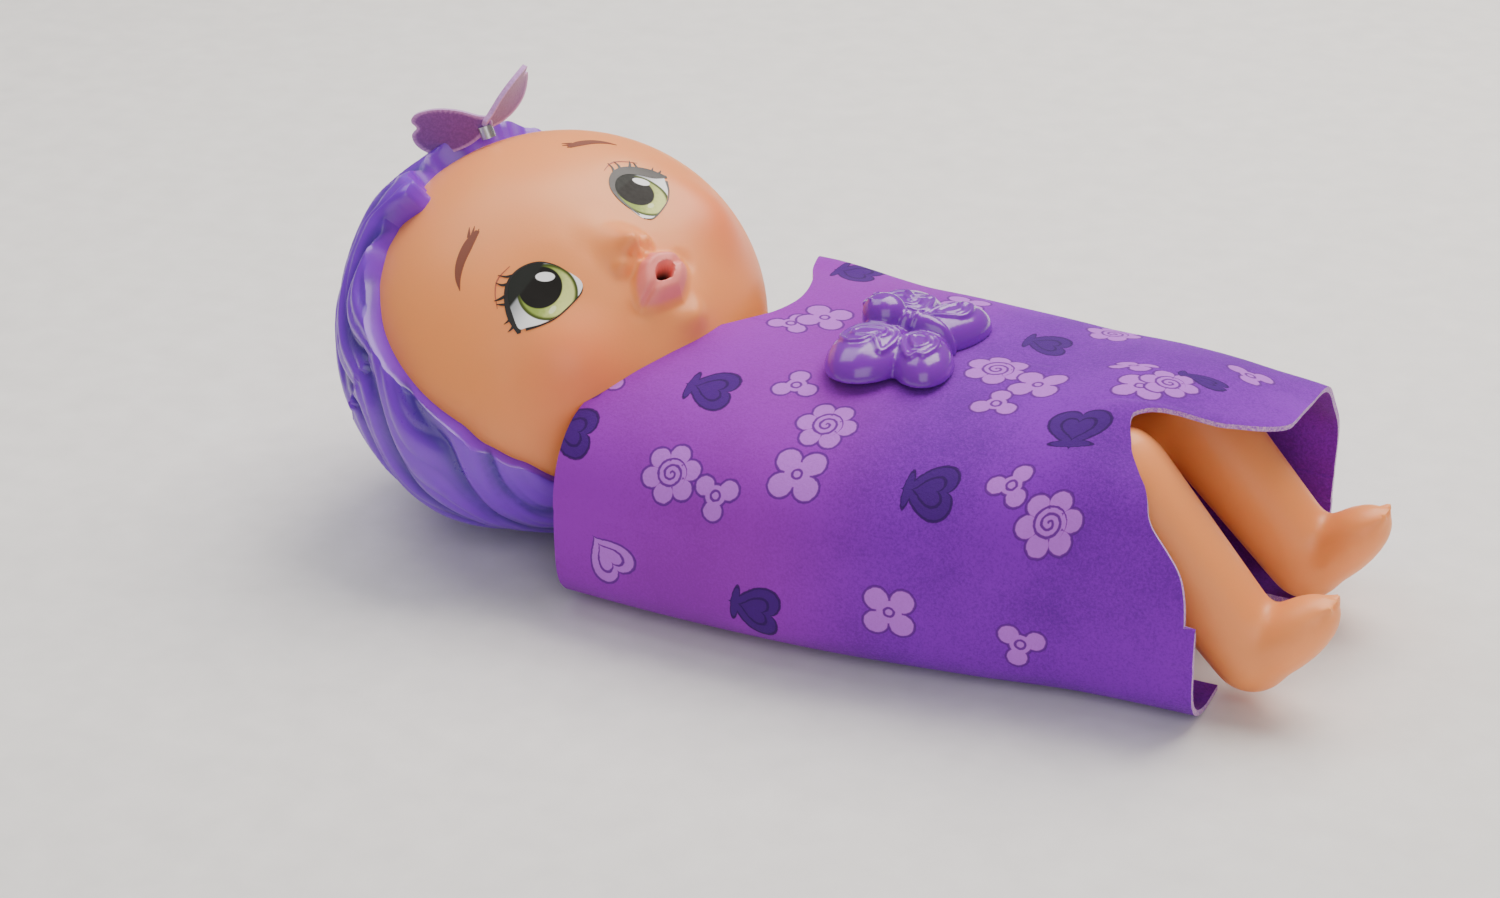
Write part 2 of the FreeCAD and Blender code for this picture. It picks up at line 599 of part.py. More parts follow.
def build_speaker():
    x, base, deep = size("speaker_at"), size("speaker_base"), size("speaker_deep")
    radius = size("speaker_radius")
    profile = [(0, 0), (radius - 1, 0), (radius, 1), (radius, deep), (radius - 1.5, deep), (radius - 1.5, 2.6),
               (3, 0.8), (0, 0.8)]
    node(turned("speaker_frame", profile, at(x, 0, base)))
    node(cylinder("speaker_magnet", "magnet_radius", "magnet_deep", at(x, 0, base - size("magnet_deep"))))
    cone = [(0, 1), (3, 1), (radius - 1.7, 2.8), (radius - 1.7, 3.1), (3, 1.4), (2, 2), (0, 2.3)]
    node(turned("speaker_cone", cone, at(x, 0, base)))


def build_cables():
    tray = tray_sizes()
    board_low = size("board_base")
    board_top = board_low + size("board_thick")
    tray_top = tray["top"] + size("tray_wall")
    red = [(-2, 8, tray_top), (-2, 8, tray_top + 7), (4, 10, tray_top + 15), (4, 10, board_low)]
    black = [(x, -y, z) for x, y, z in red]
    wire = size("wire_radius")
    group("battery_wires", [tube("battery_wire_red", red, wire), tube("battery_wire_black", black, wire)])
    thin = size("thin_wire_radius")
    speaker_z = size("speaker_base") + 1.5
    lead = [(18, 5, board_top), (18, 5, board_top + 4), (20, 4.5, speaker_z), (23.4, 4, speaker_z)]
    other = [(x, -y, z) for x, y, z in lead]
    group("speaker_wires", [tube("speaker_wire_left", lead, thin), tube("speaker_wire_right", other, thin)])

    low = size("connector_low")
    end = on_neck(z=-low).Base
    bend = on_neck(z=-size("collar_top") - 21).Base
    route = [(-13, 0, board_low), (-13, 0, 27), tuple(bend), tuple(end)]
    node(tube("neck_cable", route, size("cable_radius")))
    node(box("cable_plug", "connector_wide", "connector_wide", "connector_long", on_neck(z=-low)))
    socket_low = -low + size("connector_long") + 0.5
    node(box("cable_socket", "connector_wide", "connector_wide", "connector_long", on_head(z=socket_low)))
    top = socket_low + size("connector_long")
    switch_x = size("mouth_switch_back") + size("mouth_switch_long") / 2
    switch_top = -size("mouth_low") + size("mouth_switch_wide") / 2
    loop = [(0, 0, top), (0, 0, top + 5), (4, 0, top + 10), (switch_x, 0, top + 5), (switch_x, 0, switch_top)]
    node(tube("mouth_wires", loop, wire, on_head()))


# ---- Head ----------------------------------------------------------------------------------------

def build_head():
    skin = egg("skin_outside", "face_radius", "cheek_radius", "crown_radius", on_head())
    room = egg("skin_inside", "face_radius - skin_wall", "cheek_radius - skin_wall", "crown_radius - skin_wall",
               on_head())
    low = -size("mouth_low")
    nose = egg("nose", "nose_radius", "nose_radius", "nose_tall", on_head(size("nose_out"), 0, -size("nose_low")))
    lips = primitive("Cone", "lips", on_head(size("lips_back"), 0, low, FEETWARD), Radius1="lips_radius",
                     Radius2="lips_tip_radius", Height="lips_out - lips_back")
    block = cylinder("mouth_block", "lips_radius", "lips_back - mouth_block_back",
                     on_head(size("mouth_block_back"), 0, low, FEETWARD))
    shell = fuse("head_full", cut("skin_shell", fuse("face", skin, nose), room), lips, block)
    socket = cylinder("cup_socket", "cup_radius", "cup_front - mouth_block_back",
                      on_head(size("mouth_block_back"), 0, low, FEETWARD))
    hole = cylinder("mouth_hole", "mouth_radius", "20", on_head(size("cup_front") - 0.2, 0, low, FEETWARD))
    neck = cylinder("neck_opening", "ring_radius", "30", on_head(z=-size("ring_flange_top") - 30))
    node(cut("head_shell", shell, socket, hole, neck))

    gap = 0.1
    grow = f"hair_deep + {gap}"
    outside = egg("hair_outside", f"face_radius + {grow}", f"cheek_radius + {grow}", f"crown_radius + {grow}",
                  on_head())
    inside = egg("hair_inside", f"face_radius + {gap}", f"cheek_radius + {gap}", f"crown_radius + {gap}", on_head())
    slant = on_head(turn=FreeCAD.Rotation(VEC(0, 0, 1), size("hairline_turn")))
    front = box("face_side", f"{FAR}", f"{FAR}", f"{FAR}", slant.multiply(at(size("hairline") + FAR / 2, 0, -FAR / 2)))
    under = box("nape_side", f"{FAR}", f"{FAR}", f"{FAR}", on_head(0, 0, -size("nape") - FAR))
    node(cut("hair_cap", outside, inside, front, under))

    ring = cylinder("ring_body", "ring_radius", "ring_low - ring_flange_top", on_head(z=-size("ring_low")))
    flange = cylinder("ring_flange", "ring_flange_radius", "ring_flange_low - ring_flange_top",
                      on_head(z=-size("ring_flange_low")))
    bore = cylinder("ring_bore", "neck_radius + run_gap", "30", on_head(z=-size("ring_low") - 10))
    node(cut("neck_ring", fuse("ring_full", ring, flange), bore))


def build_neck():
    end = -size("torso_up") + size("torso_wall")
    fit = 0.2
    flange_end = end + fit + size("neck_flange_deep")
    axis_z = size("head_high") - (size("head_back") + flange_end) * math.tan(math.radians(size("neck_tilt")))
    flange = cylinder("neck_flange", "neck_flange_radius", "neck_flange_deep", at(end + fit, 0, axis_z, FEETWARD))
    stem = cylinder("neck_stem", "neck_radius", "40", on_neck(z=-size("neck_top") - 40))
    collar = cylinder("neck_collar", "collar_radius", "30", on_neck(z=-size("collar_top") - 30))
    inside = slab("inside_torso", (flange_end, -FAR, -FAR), (FAR, FAR, FAR))
    at_torso = slab("at_torso", (-size("torso_up") - size("side_gap"), -FAR, -FAR), (FAR, FAR, FAR))
    full = fuse("neck_full", flange, cut("neck_stem_cut", stem, inside), cut("neck_collar_cut", collar, at_torso))
    bore = cylinder("cable_bore", "neck_bore", "80", on_neck(z=-size("neck_top") - 79))
    groove_low = -size("clip_low")
    ring = cylinder("groove_ring", "neck_radius + 1", "clip_deep", on_neck(z=groove_low))
    core = cylinder("groove_core", "neck_radius - clip_groove", "clip_deep", on_neck(z=groove_low))
    node(cut("neck_post", full, bore, cut("groove", ring, core)))
    disc = cylinder("clip_disc", "clip_radius", "clip_deep", on_neck(z=groove_low))
    hole = cylinder("clip_hole", "neck_radius - clip_groove", "clip_deep", on_neck(z=groove_low))
    node(cut("neck_clip", disc, hole))


def build_mouth():
    low = -size("mouth_low")
    back, end = size("cup_back"), size("cup_end")
    cup = cylinder("cup_body", "cup_radius", "cup_front - cup_back", on_head(back, 0, low, FEETWARD))
    arm_long = back - size("mouth_switch_back")
    arms = [box("switch_arm", f"{arm_long} + 1", "1.6", "4",
                on_head(back - arm_long / 2 + 0.5, sign * (size("mouth_switch_wide") / 2 + 0.85), low - 2))
            for sign in (-1, 1)]
    bore = cylinder("cup_bore", "chamber_radius", "cup_front - cup_back - cup_end",
                    on_head(back + end, 0, low, FEETWARD))
    stem_way = cylinder("stem_way", "stem_radius + run_gap", "6", on_head(back - 2, 0, low, FEETWARD))
    node(cut("mouth_cup", fuse("cup_full", cup, *arms), bore, stem_way))
    disc = cylinder("plunger_disc", "chamber_radius - run_gap", "plunger_deep",
                    on_head(size("plunger_front") - size("plunger_deep"), 0, low, FEETWARD))
    stem = cylinder("plunger_stem", "stem_radius", "plunger_front - plunger_deep - stem_back",
                    on_head(size("stem_back"), 0, low, FEETWARD))
    node(fuse("mouth_plunger", disc, stem))
    node(coil("mouth_spring", "stem_radius + 1", "plunger_front - plunger_deep - cup_back - cup_end", "0.3", 4,
              on_head(back + end, 0, low, FEETWARD)))
    switch_x = size("mouth_switch_back") + size("mouth_switch_long") / 2
    node(box("mouth_switch", "mouth_switch_long", "mouth_switch_wide", "mouth_switch_wide",
             on_head(switch_x, 0, low - size("mouth_switch_wide") / 2)))


def build_bow():
    """Two felt wings and their rivet, on the hairline at the left of the forehead."""
    foot = VEC(26, 21, 44.5)
    out = VEC(0.62, 0.29, 0.73)
    wings = {"bow_wing_right": (VEC(22.8, 14.5, 56), VEC(-0.41, -0.58, 0.70)),
             "bow_wing_left": (VEC(29, 31, 44.5), VEC(0.11, 0.99, -0.03))}
    for label, (middle, along) in wings.items():
        face = along.cross(out)
        turn = FreeCAD.Rotation(along, out, face, "XYZ")
        place = on_head(middle.x, middle.y, middle.z, turn)
        node(egg(label, "wing_long / 2", "wing_wide / 2", "wing_thick / 2", place))
    turn = FreeCAD.Rotation(VEC(0, 0, 1), out)
    node(cylinder("bow_rivet", "rivet_radius", "rivet_long", on_head(foot.x - 1.5, foot.y - 1, foot.z - 0.8, turn)))


# ---- Limbs ---------------------------------------------------------------------------------------

def bone(label, start, start_radius, end, end_radius):
    """A round tapering limb segment with a ball at each end."""
    start, end = VEC(*start), VEC(*end)
    way = end - start
    taper = primitive("Cone", label, FreeCAD.Placement(start, FreeCAD.Rotation(VEC(0, 0, 1), way)),
                      Radius1=start_radius, Radius2=end_radius, Height="1")
    bind(taper, Height=f"{way.Length}")
    tip = primitive("Sphere", label + "_end", at(*end), Radius=end_radius)
    return [taper, tip]


def plug(label, side, x, z, flange_face, joint_face):
    """A swivel plug: a flange inside the torso, a neck through its wall, and an end in the limb."""
    sign = SIDES[side]
    turn = FreeCAD.Rotation(VEC(1, 0, 0), -90 * sign)
    flange_start = flange_face - size("plug_flange_deep")
    flange = cylinder(label + "_flange", "plug_flange_radius", "plug_flange_deep", at(x, sign * flange_start, z, turn))
    neck = cylinder(label + "_neck", "plug_radius", "1", at(x, sign * flange_start, z, turn))
    bind(neck, Height=f"{joint_face + size('plug_bite') - flange_start}")
    return node(fuse(label, flange, neck))


def limb_joint(label, side, x, z, face):
    """What a limb's inner end loses: everything inside its joint face, and the plug's socket."""
    sign = SIDES[side]
    low, high = sorted((sign * face, -sign * FAR))
    inner = slab(label + "_inner", (x - 25, low, z - 25), (x + 25, high, z + 25))
    turn = FreeCAD.Rotation(VEC(1, 0, 0), -90 * sign)
    socket = cylinder(label + "_socket", "plug_radius", "plug_bite", at(x, sign * face, z, turn))
    return [inner, socket]


def build_arm(side):
    sign = SIDES[side]
    x, z = size("arm_at"), size("arm_high")
    shoulder = (x, sign * size("arm_side"), z)
    elbow = (size("elbow_at"), sign * size("elbow_side"), size("elbow_high"))
    hand = (size("hand_at"), sign * size("hand_side"), size("hand_high"))
    ball = primitive("Sphere", side + "_shoulder_ball", at(*shoulder), Radius="arm_ball")
    pieces = [ball] + bone(side + "_upper_arm", shoulder, "arm_ball - 1", elbow, "elbow_radius")
    pieces += bone(side + "_forearm", elbow, "elbow_radius", hand, "hand_radius")
    face = size("arm_boss_side") + size("side_gap")
    node(cut(side + "_arm", fuse(side + "_arm_full", *pieces), *limb_joint(side + "_arm", side, x, z, face)))
    flange_face = size("arm_boss_side") - size("arm_boss_deep") - 0.2
    plug(side + "_shoulder_plug", side, x, z, flange_face, face)


def build_leg(side):
    sign = SIDES[side]
    x, z = size("hip_at"), size("hip_high")
    hip = (x, sign * size("hip_side"), z)
    knee = (size("knee_at"), sign * size("knee_side"), size("knee_high"))
    ankle = (size("ankle_at"), sign * size("ankle_side"), size("ankle_high"))
    ball = primitive("Sphere", side + "_hip_ball", at(*hip), Radius="hip_ball")
    pieces = [ball] + bone(side + "_thigh", hip, "hip_ball", knee, "knee_radius")
    pieces += bone(side + "_shin", knee, "knee_radius", ankle, "ankle_radius")
    tilt = FreeCAD.Rotation(VEC(0, 1, 0), -size("foot_tilt"))
    foot_x, foot_z = ankle[0] + 7, ankle[2] + 4.5
    pieces.append(egg(side + "_foot", "foot_long / 2", "foot_wide / 2", "foot_deep / 2",
                      at(foot_x, ankle[1], foot_z, tilt)))
    face = size("crotch_wide") / 2 + size("side_gap")
    node(cut(side + "_leg", fuse(side + "_leg_full", *pieces), *limb_joint(side + "_leg", side, x, z, face)))
    flange_face = size("crotch_wide") / 2 - size("torso_wall") - 0.2
    plug(side + "_hip_plug", side, x, z, flange_face, face)


# ---- Swaddle -------------------------------------------------------------------------------------

def felt_stations():
    """Half width and top height of the swaddle's outside along the body."""
    return [(-68, size("neck_side_wide"), size("neck_side_high")),
            (-30, size("arms_wide"), size("arms_high")),
            (10, size("middle_wide"), size("middle_high")),
            (48, size("hips_wide"), size("hips_high")),
            (size("knee_at"), size("knees_wide"), size("knees_high")),
            (size("skirt_end") + 6, size("hem_wide"), size("hem_high"))]


def felt_section(x, half, top, inset):
    """A closed rounded outline, softer above the middle than below it."""
    middle = size("wrap_middle")
    below = middle + size("wrap_flat")
    points = []
    for step in range(32):
        angle = 2 * math.pi * (step + 0.5) / 32
        c, s = math.cos(angle), math.sin(angle)
        power = 2 / 2.3 if s > 0 else 2 / 5
        rise = (top - middle if s > 0 else below) - inset
        y = math.copysign(abs(c) ** power, c) * (half - inset)
        z = middle + math.copysign(abs(s) ** power, s) * rise
        points.append(VEC(x, y, z))
    curve = Part.BSplineCurve()
    curve.interpolate(points, PeriodicFlag=True)
    return Part.Wire(curve.toShape())


def felt_solid(inset, floor):
    wires = [felt_section(x, half, top, inset) for x, half, top in felt_stations()]
    solid = Part.makeLoft(wires, True)
    above = Part.makeBox(2 * FAR, 2 * FAR, FAR, VEC(-FAR, -FAR, floor))
    return solid.common(above)


def prism(points):
    """An upright solid over a closed outline, through the full height."""
    outline = [VEC(x, y, -10) for x, y in points]
    face = Part.Face(Part.makePolygon(outline + outline[:1]))
    return face.extrude(VEC(0, 0, FAR))


def build_swaddle():
    thick = size("felt")
    shell = felt_solid(0, 0).cut(felt_solid(thick, thick))
    half_gap = size("back_gap") / 2
    shell = shell.cut(Part.makeBox(2 * FAR, 2 * half_gap, thick + 5, VEC(-FAR, -half_gap, -5)))
    neckline = [(-90, -80), (-62, -80), (-62, -46), (-56, -36), (-50, -23), (-43, -8), (-37, 0), (-30, 9),
                (-28, 20), (-31, 34), (-38, 47), (-40, 80), (-90, 80)]
    shell = shell.cut(prism(neckline))
    room = egg("head_room", "face_radius + 2", "cheek_radius + 2", "crown_radius + 2", on_head())
    doc.recompute([room])
    shell = shell.cut(room.Shape)
    notch = [(77, -26), (80, -21), (88, -19), (95, -19), (100, -16), (112, -8), (130, -8), (130, -80),
             (100, -80), (94, -56), (88, -50), (83, -43), (79, -35)]
    shell = shell.cut(prism(notch))
    hole = Part.makeCylinder(size("clasp_stem_radius") + 0.6, 40, VEC(size("clasp_at"), 0, 40))
    shell = shell.cut(hole)
    end, gap = size("wrap_end"), size("seam_gap")
    skirt_long = size("skirt_end") - end - gap
    wrap = shell.common(Part.makeBox(2 * FAR, 2 * FAR, 2 * FAR, VEC(end - 2 * FAR, -FAR, -FAR)))
    skirt = shell.common(Part.makeBox(skirt_long, 2 * FAR, 2 * FAR, VEC(end + gap, -FAR, -FAR)))
    node(feature("swaddle_wrap", wrap))
    node(feature("swaddle_skirt", skirt))
    straps = [plate("back_strap", "strap_wide", "strap_long", "strap_thick",
                    at(x + size("strap_wide") / 2, 0, thick + 0.05))
              for x in (-size("strap_up"), size("strap_down"))]
    group("back_straps", straps)


def build_clasp():
    x, base = size("clasp_at"), size("clasp_base")
    tilt = FreeCAD.Rotation(VEC(0, 1, 0), -size("clasp_tilt"))
    pieces = [egg("clasp_body", "14", "4.5", "9", at(2, 0, 1)),
              primitive("Sphere", "clasp_head", at(-13, 0, 4), Radius="5.5")]
    for side, sign in SIDES.items():
        fore = FreeCAD.Rotation(VEC(0, 0, 1), sign * -20)
        hind = FreeCAD.Rotation(VEC(0, 0, 1), sign * 35)
        pieces.append(egg("fore_wing_" + side, "9.5", "15", "8", at(-4, sign * 13, 0.5, fore)))
        pieces.append(egg("hind_wing_" + side, "8", "11", "7", at(11, sign * 10, 0.5, hind)))
    flat = slab("under_clasp", (-FAR, -FAR, -FAR), (FAR, FAR, 0))
    top = cut("clasp_top", fuse("clasp_full", *pieces), flat)
    top.Placement = at(x, 0, base, tilt)
    stem = cylinder("clasp_stem", "clasp_stem_radius", "clasp_base - clasp_stem_end + 2",
                    at(x, 0, size("clasp_stem_end")))
    node(fuse("butterfly_clasp", top, stem))
    node(plate("clasp_plate", "plate_long", "plate_wide", "plate_thick", at(x, 0, size("plate_base")),
               "clasp_stem_radius + run_gap", [(0, 0)]))


# ---- Check and write -------------------------------------------------------------------------------

def move_to_origin():
    """Shift every sub-part so that the origin lies under the middle of the whole."""
    shift = at(size("waist_at"))
    for thing in nodes:
        thing.Placement = shift.multiply(thing.Placement)


def write_parts():
    doc.recompute()
    for thing in doc.Objects:
        if "Invalid" in thing.State or "Error" in thing.State:
            raise RuntimeError(f"{thing.Label} failed: {thing.State}")
    os.makedirs("parts", exist_ok=True)
    for thing in nodes:
        shape = thing.Shape
        if shape.isNull() or not shape.isValid() or not shape.Solids:
            raise RuntimeError(f"{thing.Label} has no valid solid")
        print(f"{thing.Label}: {len(shape.Solids)} solid(s), {shape.Volume:.1f} mm3")
        shape.exportStep(f"parts/{thing.Label}.step")


build_torso()
build_screws()
build_power()
build_board()
build_button()
build_speaker()
build_cables()
build_head()
build_neck()
build_mouth()
build_bow()
for limb_side in SIDES:
    build_arm(limb_side)
    build_leg(limb_side)
build_swaddle()
build_clasp()
move_to_origin()
write_parts()
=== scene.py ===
"""Looks of a swaddled interactive baby doll: soft vinyl face, moulded hair, printed felt and a glossy clasp.

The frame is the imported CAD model. Pieces of the head are modelled upright, with the face along +X and the crown
along +Z, and are then set on the tilted neck by HEAD. Lengths are in metres, and MM turns millimetres into them.
"""

import json
import math

import bmesh
import bpy
from bpy.props import FloatProperty, FloatVectorProperty, IntProperty, PointerProperty
from mathutils import Matrix, Vector
from mathutils.bvhtree import BVHTree


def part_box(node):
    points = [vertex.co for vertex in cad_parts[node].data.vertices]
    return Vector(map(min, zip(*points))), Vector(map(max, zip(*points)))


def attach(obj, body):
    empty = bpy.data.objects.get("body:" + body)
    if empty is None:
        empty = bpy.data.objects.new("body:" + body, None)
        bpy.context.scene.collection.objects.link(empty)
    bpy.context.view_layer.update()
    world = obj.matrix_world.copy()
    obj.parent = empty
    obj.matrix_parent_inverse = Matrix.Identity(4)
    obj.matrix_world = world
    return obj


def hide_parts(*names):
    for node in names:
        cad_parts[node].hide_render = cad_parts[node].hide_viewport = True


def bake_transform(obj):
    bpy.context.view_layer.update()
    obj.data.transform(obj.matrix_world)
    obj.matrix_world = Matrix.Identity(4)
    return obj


bl_info = {
    "name": "Swaddled Baby Doll",
    "version": (1, 0, 0),
    "blender": (4, 5, 0),
    "location": "3D View > Sidebar > Doll",
    "description": "Models and finishes an interactive baby doll around its packed frame",
    "category": "Object",
}

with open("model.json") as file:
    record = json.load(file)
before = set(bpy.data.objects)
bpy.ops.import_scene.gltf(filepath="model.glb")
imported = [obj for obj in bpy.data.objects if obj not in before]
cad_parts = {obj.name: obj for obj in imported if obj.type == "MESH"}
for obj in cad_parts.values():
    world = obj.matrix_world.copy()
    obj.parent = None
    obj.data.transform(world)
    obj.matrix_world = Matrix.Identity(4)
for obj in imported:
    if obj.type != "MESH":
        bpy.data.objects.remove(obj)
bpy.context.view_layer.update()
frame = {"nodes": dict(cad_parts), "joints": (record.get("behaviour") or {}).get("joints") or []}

MM = 0.001
JOINTS = {joint["name"]: joint for joint in frame["joints"]}
WAIST = 0.0063              # where the swaddle's stations are measured from, along the body


def joint_place(name):
    """The point that a joint turns or slides about, as a vector."""
    return Vector(JOINTS[name]["pos_m"])


def head_matrix():
    """From the upright head to where it lies, from the neck's axis and the way into the mouth."""
    crown = Vector(JOINTS["head_turn"]["axis"]).normalized()
    face = -Vector(JOINTS["mouth_press"]["axis"]).normalized()
    left = crown.cross(face)
    turn = Matrix((face, left, crown)).transposed().to_4x4()
    return Matrix.Translation(joint_place("head_turn")) @ turn


HEAD = head_matrix()
FACE_SIZE = Vector((44.5, 58.5, 54.0))      # half sizes of the bald head: forward, sideways and up
SMOOTH_ANGLE = math.radians(40)


# ---- Modelling helpers -------------------------------------------------------------------------

def deselect():
    if bpy.context.object and bpy.context.object.mode != "OBJECT":
        bpy.ops.object.mode_set(mode="OBJECT")
    bpy.ops.object.select_all(action="DESELECT")


def choose(piece):
    """Make one object the only selected and active one."""
    deselect()
    piece.select_set(True)
    bpy.context.view_layer.objects.active = piece
    return piece


def added(name):
    """Name the primitive that was just added."""
    piece = bpy.context.object
    piece.name = piece.data.name = name
    return piece


def apply_modifier(piece, kind, **settings):
    choose(piece)
    modifier = piece.modifiers.new(kind.title(), kind)
    for key, value in settings.items():
        setattr(modifier, key, value)
    bpy.ops.object.modifier_apply(modifier=modifier.name)
    return piece


def settle(piece, matrix=None):
    """Put a piece's place into its mesh, so that its object sits unturned at the origin."""
    choose(piece)
    if matrix is not None:
        piece.matrix_world = matrix @ piece.matrix_world
    bpy.context.view_layer.update()
    bpy.ops.object.transform_apply(location=True, rotation=True, scale=True)
    return piece


def tidy_faces(piece, merge=0.00001):
    """Merge doubles and turn every face outwards."""
    choose(piece)
    bpy.ops.object.mode_set(mode="EDIT")
    bpy.ops.mesh.select_all(action="SELECT")
    bpy.ops.mesh.remove_doubles(threshold=merge)
    bpy.ops.mesh.normals_make_consistent(inside=False)
    bpy.ops.object.mode_set(mode="OBJECT")
    return piece


def pull(piece, *pulls):
    """Push and pull a mesh by hand: each pull is a point, a move and a reach, in millimetres."""
    choose(piece)
    for point, move, reach in pulls:
        target = Vector(point) * MM
        near = min(piece.data.vertices, key=lambda vertex: (vertex.co - target).length_squared).index
        bpy.ops.object.mode_set(mode="EDIT")
        bpy.ops.mesh.select_all(action="DESELECT")
        bpy.ops.object.mode_set(mode="OBJECT")
        piece.data.vertices[near].select = True
        bpy.ops.object.mode_set(mode="EDIT")
        bpy.ops.transform.translate(value=Vector(move) * MM, use_proportional_edit=True,
                                    proportional_edit_falloff="SMOOTH", proportional_size=reach * MM)
        bpy.ops.object.mode_set(mode="OBJECT")
    return piece


def mirrored(entry, hand):
    """A pull for one side of the body."""
    (x, y, z), (dx, dy, dz), reach = entry
    return (x, hand * y, z), (dx, hand * dy, dz), reach


def joined(name, pieces):
    """Join several meshes into one piece."""
    deselect()
    for piece in pieces:
        piece.select_set(True)
    bpy.context.view_layer.objects.active = pieces[0]
    if len(pieces) > 1:
        bpy.ops.object.join()
    return added(name)


def paint(piece, material, body=None, stands_for=()):
    """Give a piece its finish, its body and the CAD nodes it stands for, and smooth it."""
    choose(piece)
    if material:
        piece.data.materials.clear()
        piece.data.materials.append(material)
    bpy.ops.object.shade_smooth_by_angle(angle=SMOOTH_ANGLE)
    if stands_for:
        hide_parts(*stands_for)
    if body:
        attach(piece, body)
    return piece


def mark(piece, name, value_of):
    """Store one number for each vertex, for a material to read."""
    attribute = piece.data.attributes.new(name, "FLOAT", "POINT")
    attribute.data.foreach_set("value", [value_of(vertex.co) for vertex in piece.data.vertices])


def smooth_step(low, high, value):
    share = min(1.0, max(0.0, (value - low) / (high - low)))
    return share * share * (3 - 2 * share)


def spline_point(points, share, closed=False):
    """A point on a smooth curve through the given points; share runs from 0 to 1."""
    count = len(points)
    spans = count if closed else count - 1
    place = min(max(share, 0.0), 1.0) * spans
    span = min(int(place), spans - 1)
    t = place - span
    if closed:
        a, b, c, d = (points[(span + step) % count] for step in (-1, 0, 1, 2))
    else:
        a, b, c, d = (points[min(max(span + step, 0), count - 1)] for step in (-1, 0, 1, 2))
    return tuple(0.5 * (2 * q + (r - p) * t + (2 * p - 5 * q + 4 * r - s) * t * t
                        + (3 * q - p - 3 * r + s) * t ** 3) for p, q, r, s in zip(a, b, c, d))


# ---- Materials ---------------------------------------------------------------------------------

class Finish:
    """A procedural material, built node by node."""

    def __init__(self, name, base, roughness=0.5, tree=None, **sockets):
        self.material = None
        self.shader = None
        if tree is None:
            self.material = bpy.data.materials.new(name)
            self.material.use_nodes = True
            tree = self.material.node_tree
            self.shader = tree.nodes["Principled BSDF"]
            self.set("Base Color", base)
            self.set("Roughness", roughness)
            for key, value in sockets.items():
                self.set(key.replace("_", " "), value)
        self.tree = tree

    def set(self, socket, value):
        link_or_value(self.material.node_tree, self.shader.inputs[socket], value)

    def node(self, kind, inputs=None, **settings):
        made = self.tree.nodes.new("ShaderNode" + kind)
        for key, value in settings.items():
            setattr(made, key, value)
        for key, value in (inputs or {}).items():
            link_or_value(self.tree, made.inputs[key], value)
        return made

    def math(self, operation, *values, clamp=False):
        made = self.node("Math", operation=operation, use_clamp=clamp)
        for socket, value in zip(made.inputs, values):
            link_or_value(self.tree, socket, value)
        return made.outputs[0]

    def mix(self, share, low, high):
        made = self.node("Mix", data_type="RGBA")
        for index, value in ((0, share), (6, low), (7, high)):
            link_or_value(self.tree, made.inputs[index], value)
        return made.outputs[2]

    def span(self, value, low, high, out_low=0.0, out_high=1.0):
        made = self.node("MapRange", {"Value": value, "From Min": low, "From Max": high, "To Min": out_low,
                                      "To Max": out_high}, interpolation_type="SMOOTHSTEP")
        return made.outputs[0]

    def place(self):
        """Object coordinates: metres, in the row frame."""
        return self.node("TexCoord").outputs["Object"]

    def noise(self, scale, detail=3.0, vector=None, roughness=0.5):
        made = self.node("TexNoise", {"Vector": vector or self.place(), "Scale": scale, "Detail": detail,
                                      "Roughness": roughness})
        return made.outputs["Fac"]

    def attribute(self, name):
        return self.node("Attribute", attribute_name=name).outputs["Fac"]

    def bump(self, height, distance, strength=1.0, normal=None):
        inputs = {"Height": height, "Distance": distance, "Strength": strength}
        if normal:
            inputs["Normal"] = normal
        return self.node("Bump", inputs).outputs[0]


def link_or_value(tree, socket, value):
    if isinstance(value, bpy.types.NodeSocket):
        tree.links.new(value, socket)
    elif hasattr(value, "__len__") and len(value) == 3 and socket.type == "RGBA":
        socket.default_value = (*value, 1.0)
    else:
        socket.default_value = value


def shade(colour, factor):
    return tuple(min(1.0, channel * factor) for channel in colour[:3])


def new_group(name, inputs, outputs):
    """A shader node group with named sockets; returns its graph, its inputs and its output node."""
    tree = bpy.data.node_groups.new(name, "ShaderNodeTree")
    for label, kind, value in inputs:
        socket = tree.interface.new_socket(label, in_out="INPUT", socket_type="NodeSocket" + kind)
        if value is not None:
            socket.default_value = value
    for label, kind in outputs:
        tree.interface.new_socket(label, in_out="OUTPUT", socket_type="NodeSocket" + kind)
    graph = Finish(name, None, tree=tree)
    source = tree.nodes.new("NodeGroupInput")
    target = tree.nodes.new("NodeGroupOutput")
    return graph, source.outputs, target.inputs


def use_group(finish, tree, **inputs):
    made = finish.node("Group")
    made.node_tree = tree
    for key, value in inputs.items():
        link_or_value(finish.tree, made.inputs[key], value)
    return made.outputs


GROUPS = {}
SWIRL_PITCH = 0.17          # centimetres between the turns of a rose's swirl
DRAWN_LINE = (0.045, 0.02)  # where a printed line ends and where it is full, in centimetres from its middle


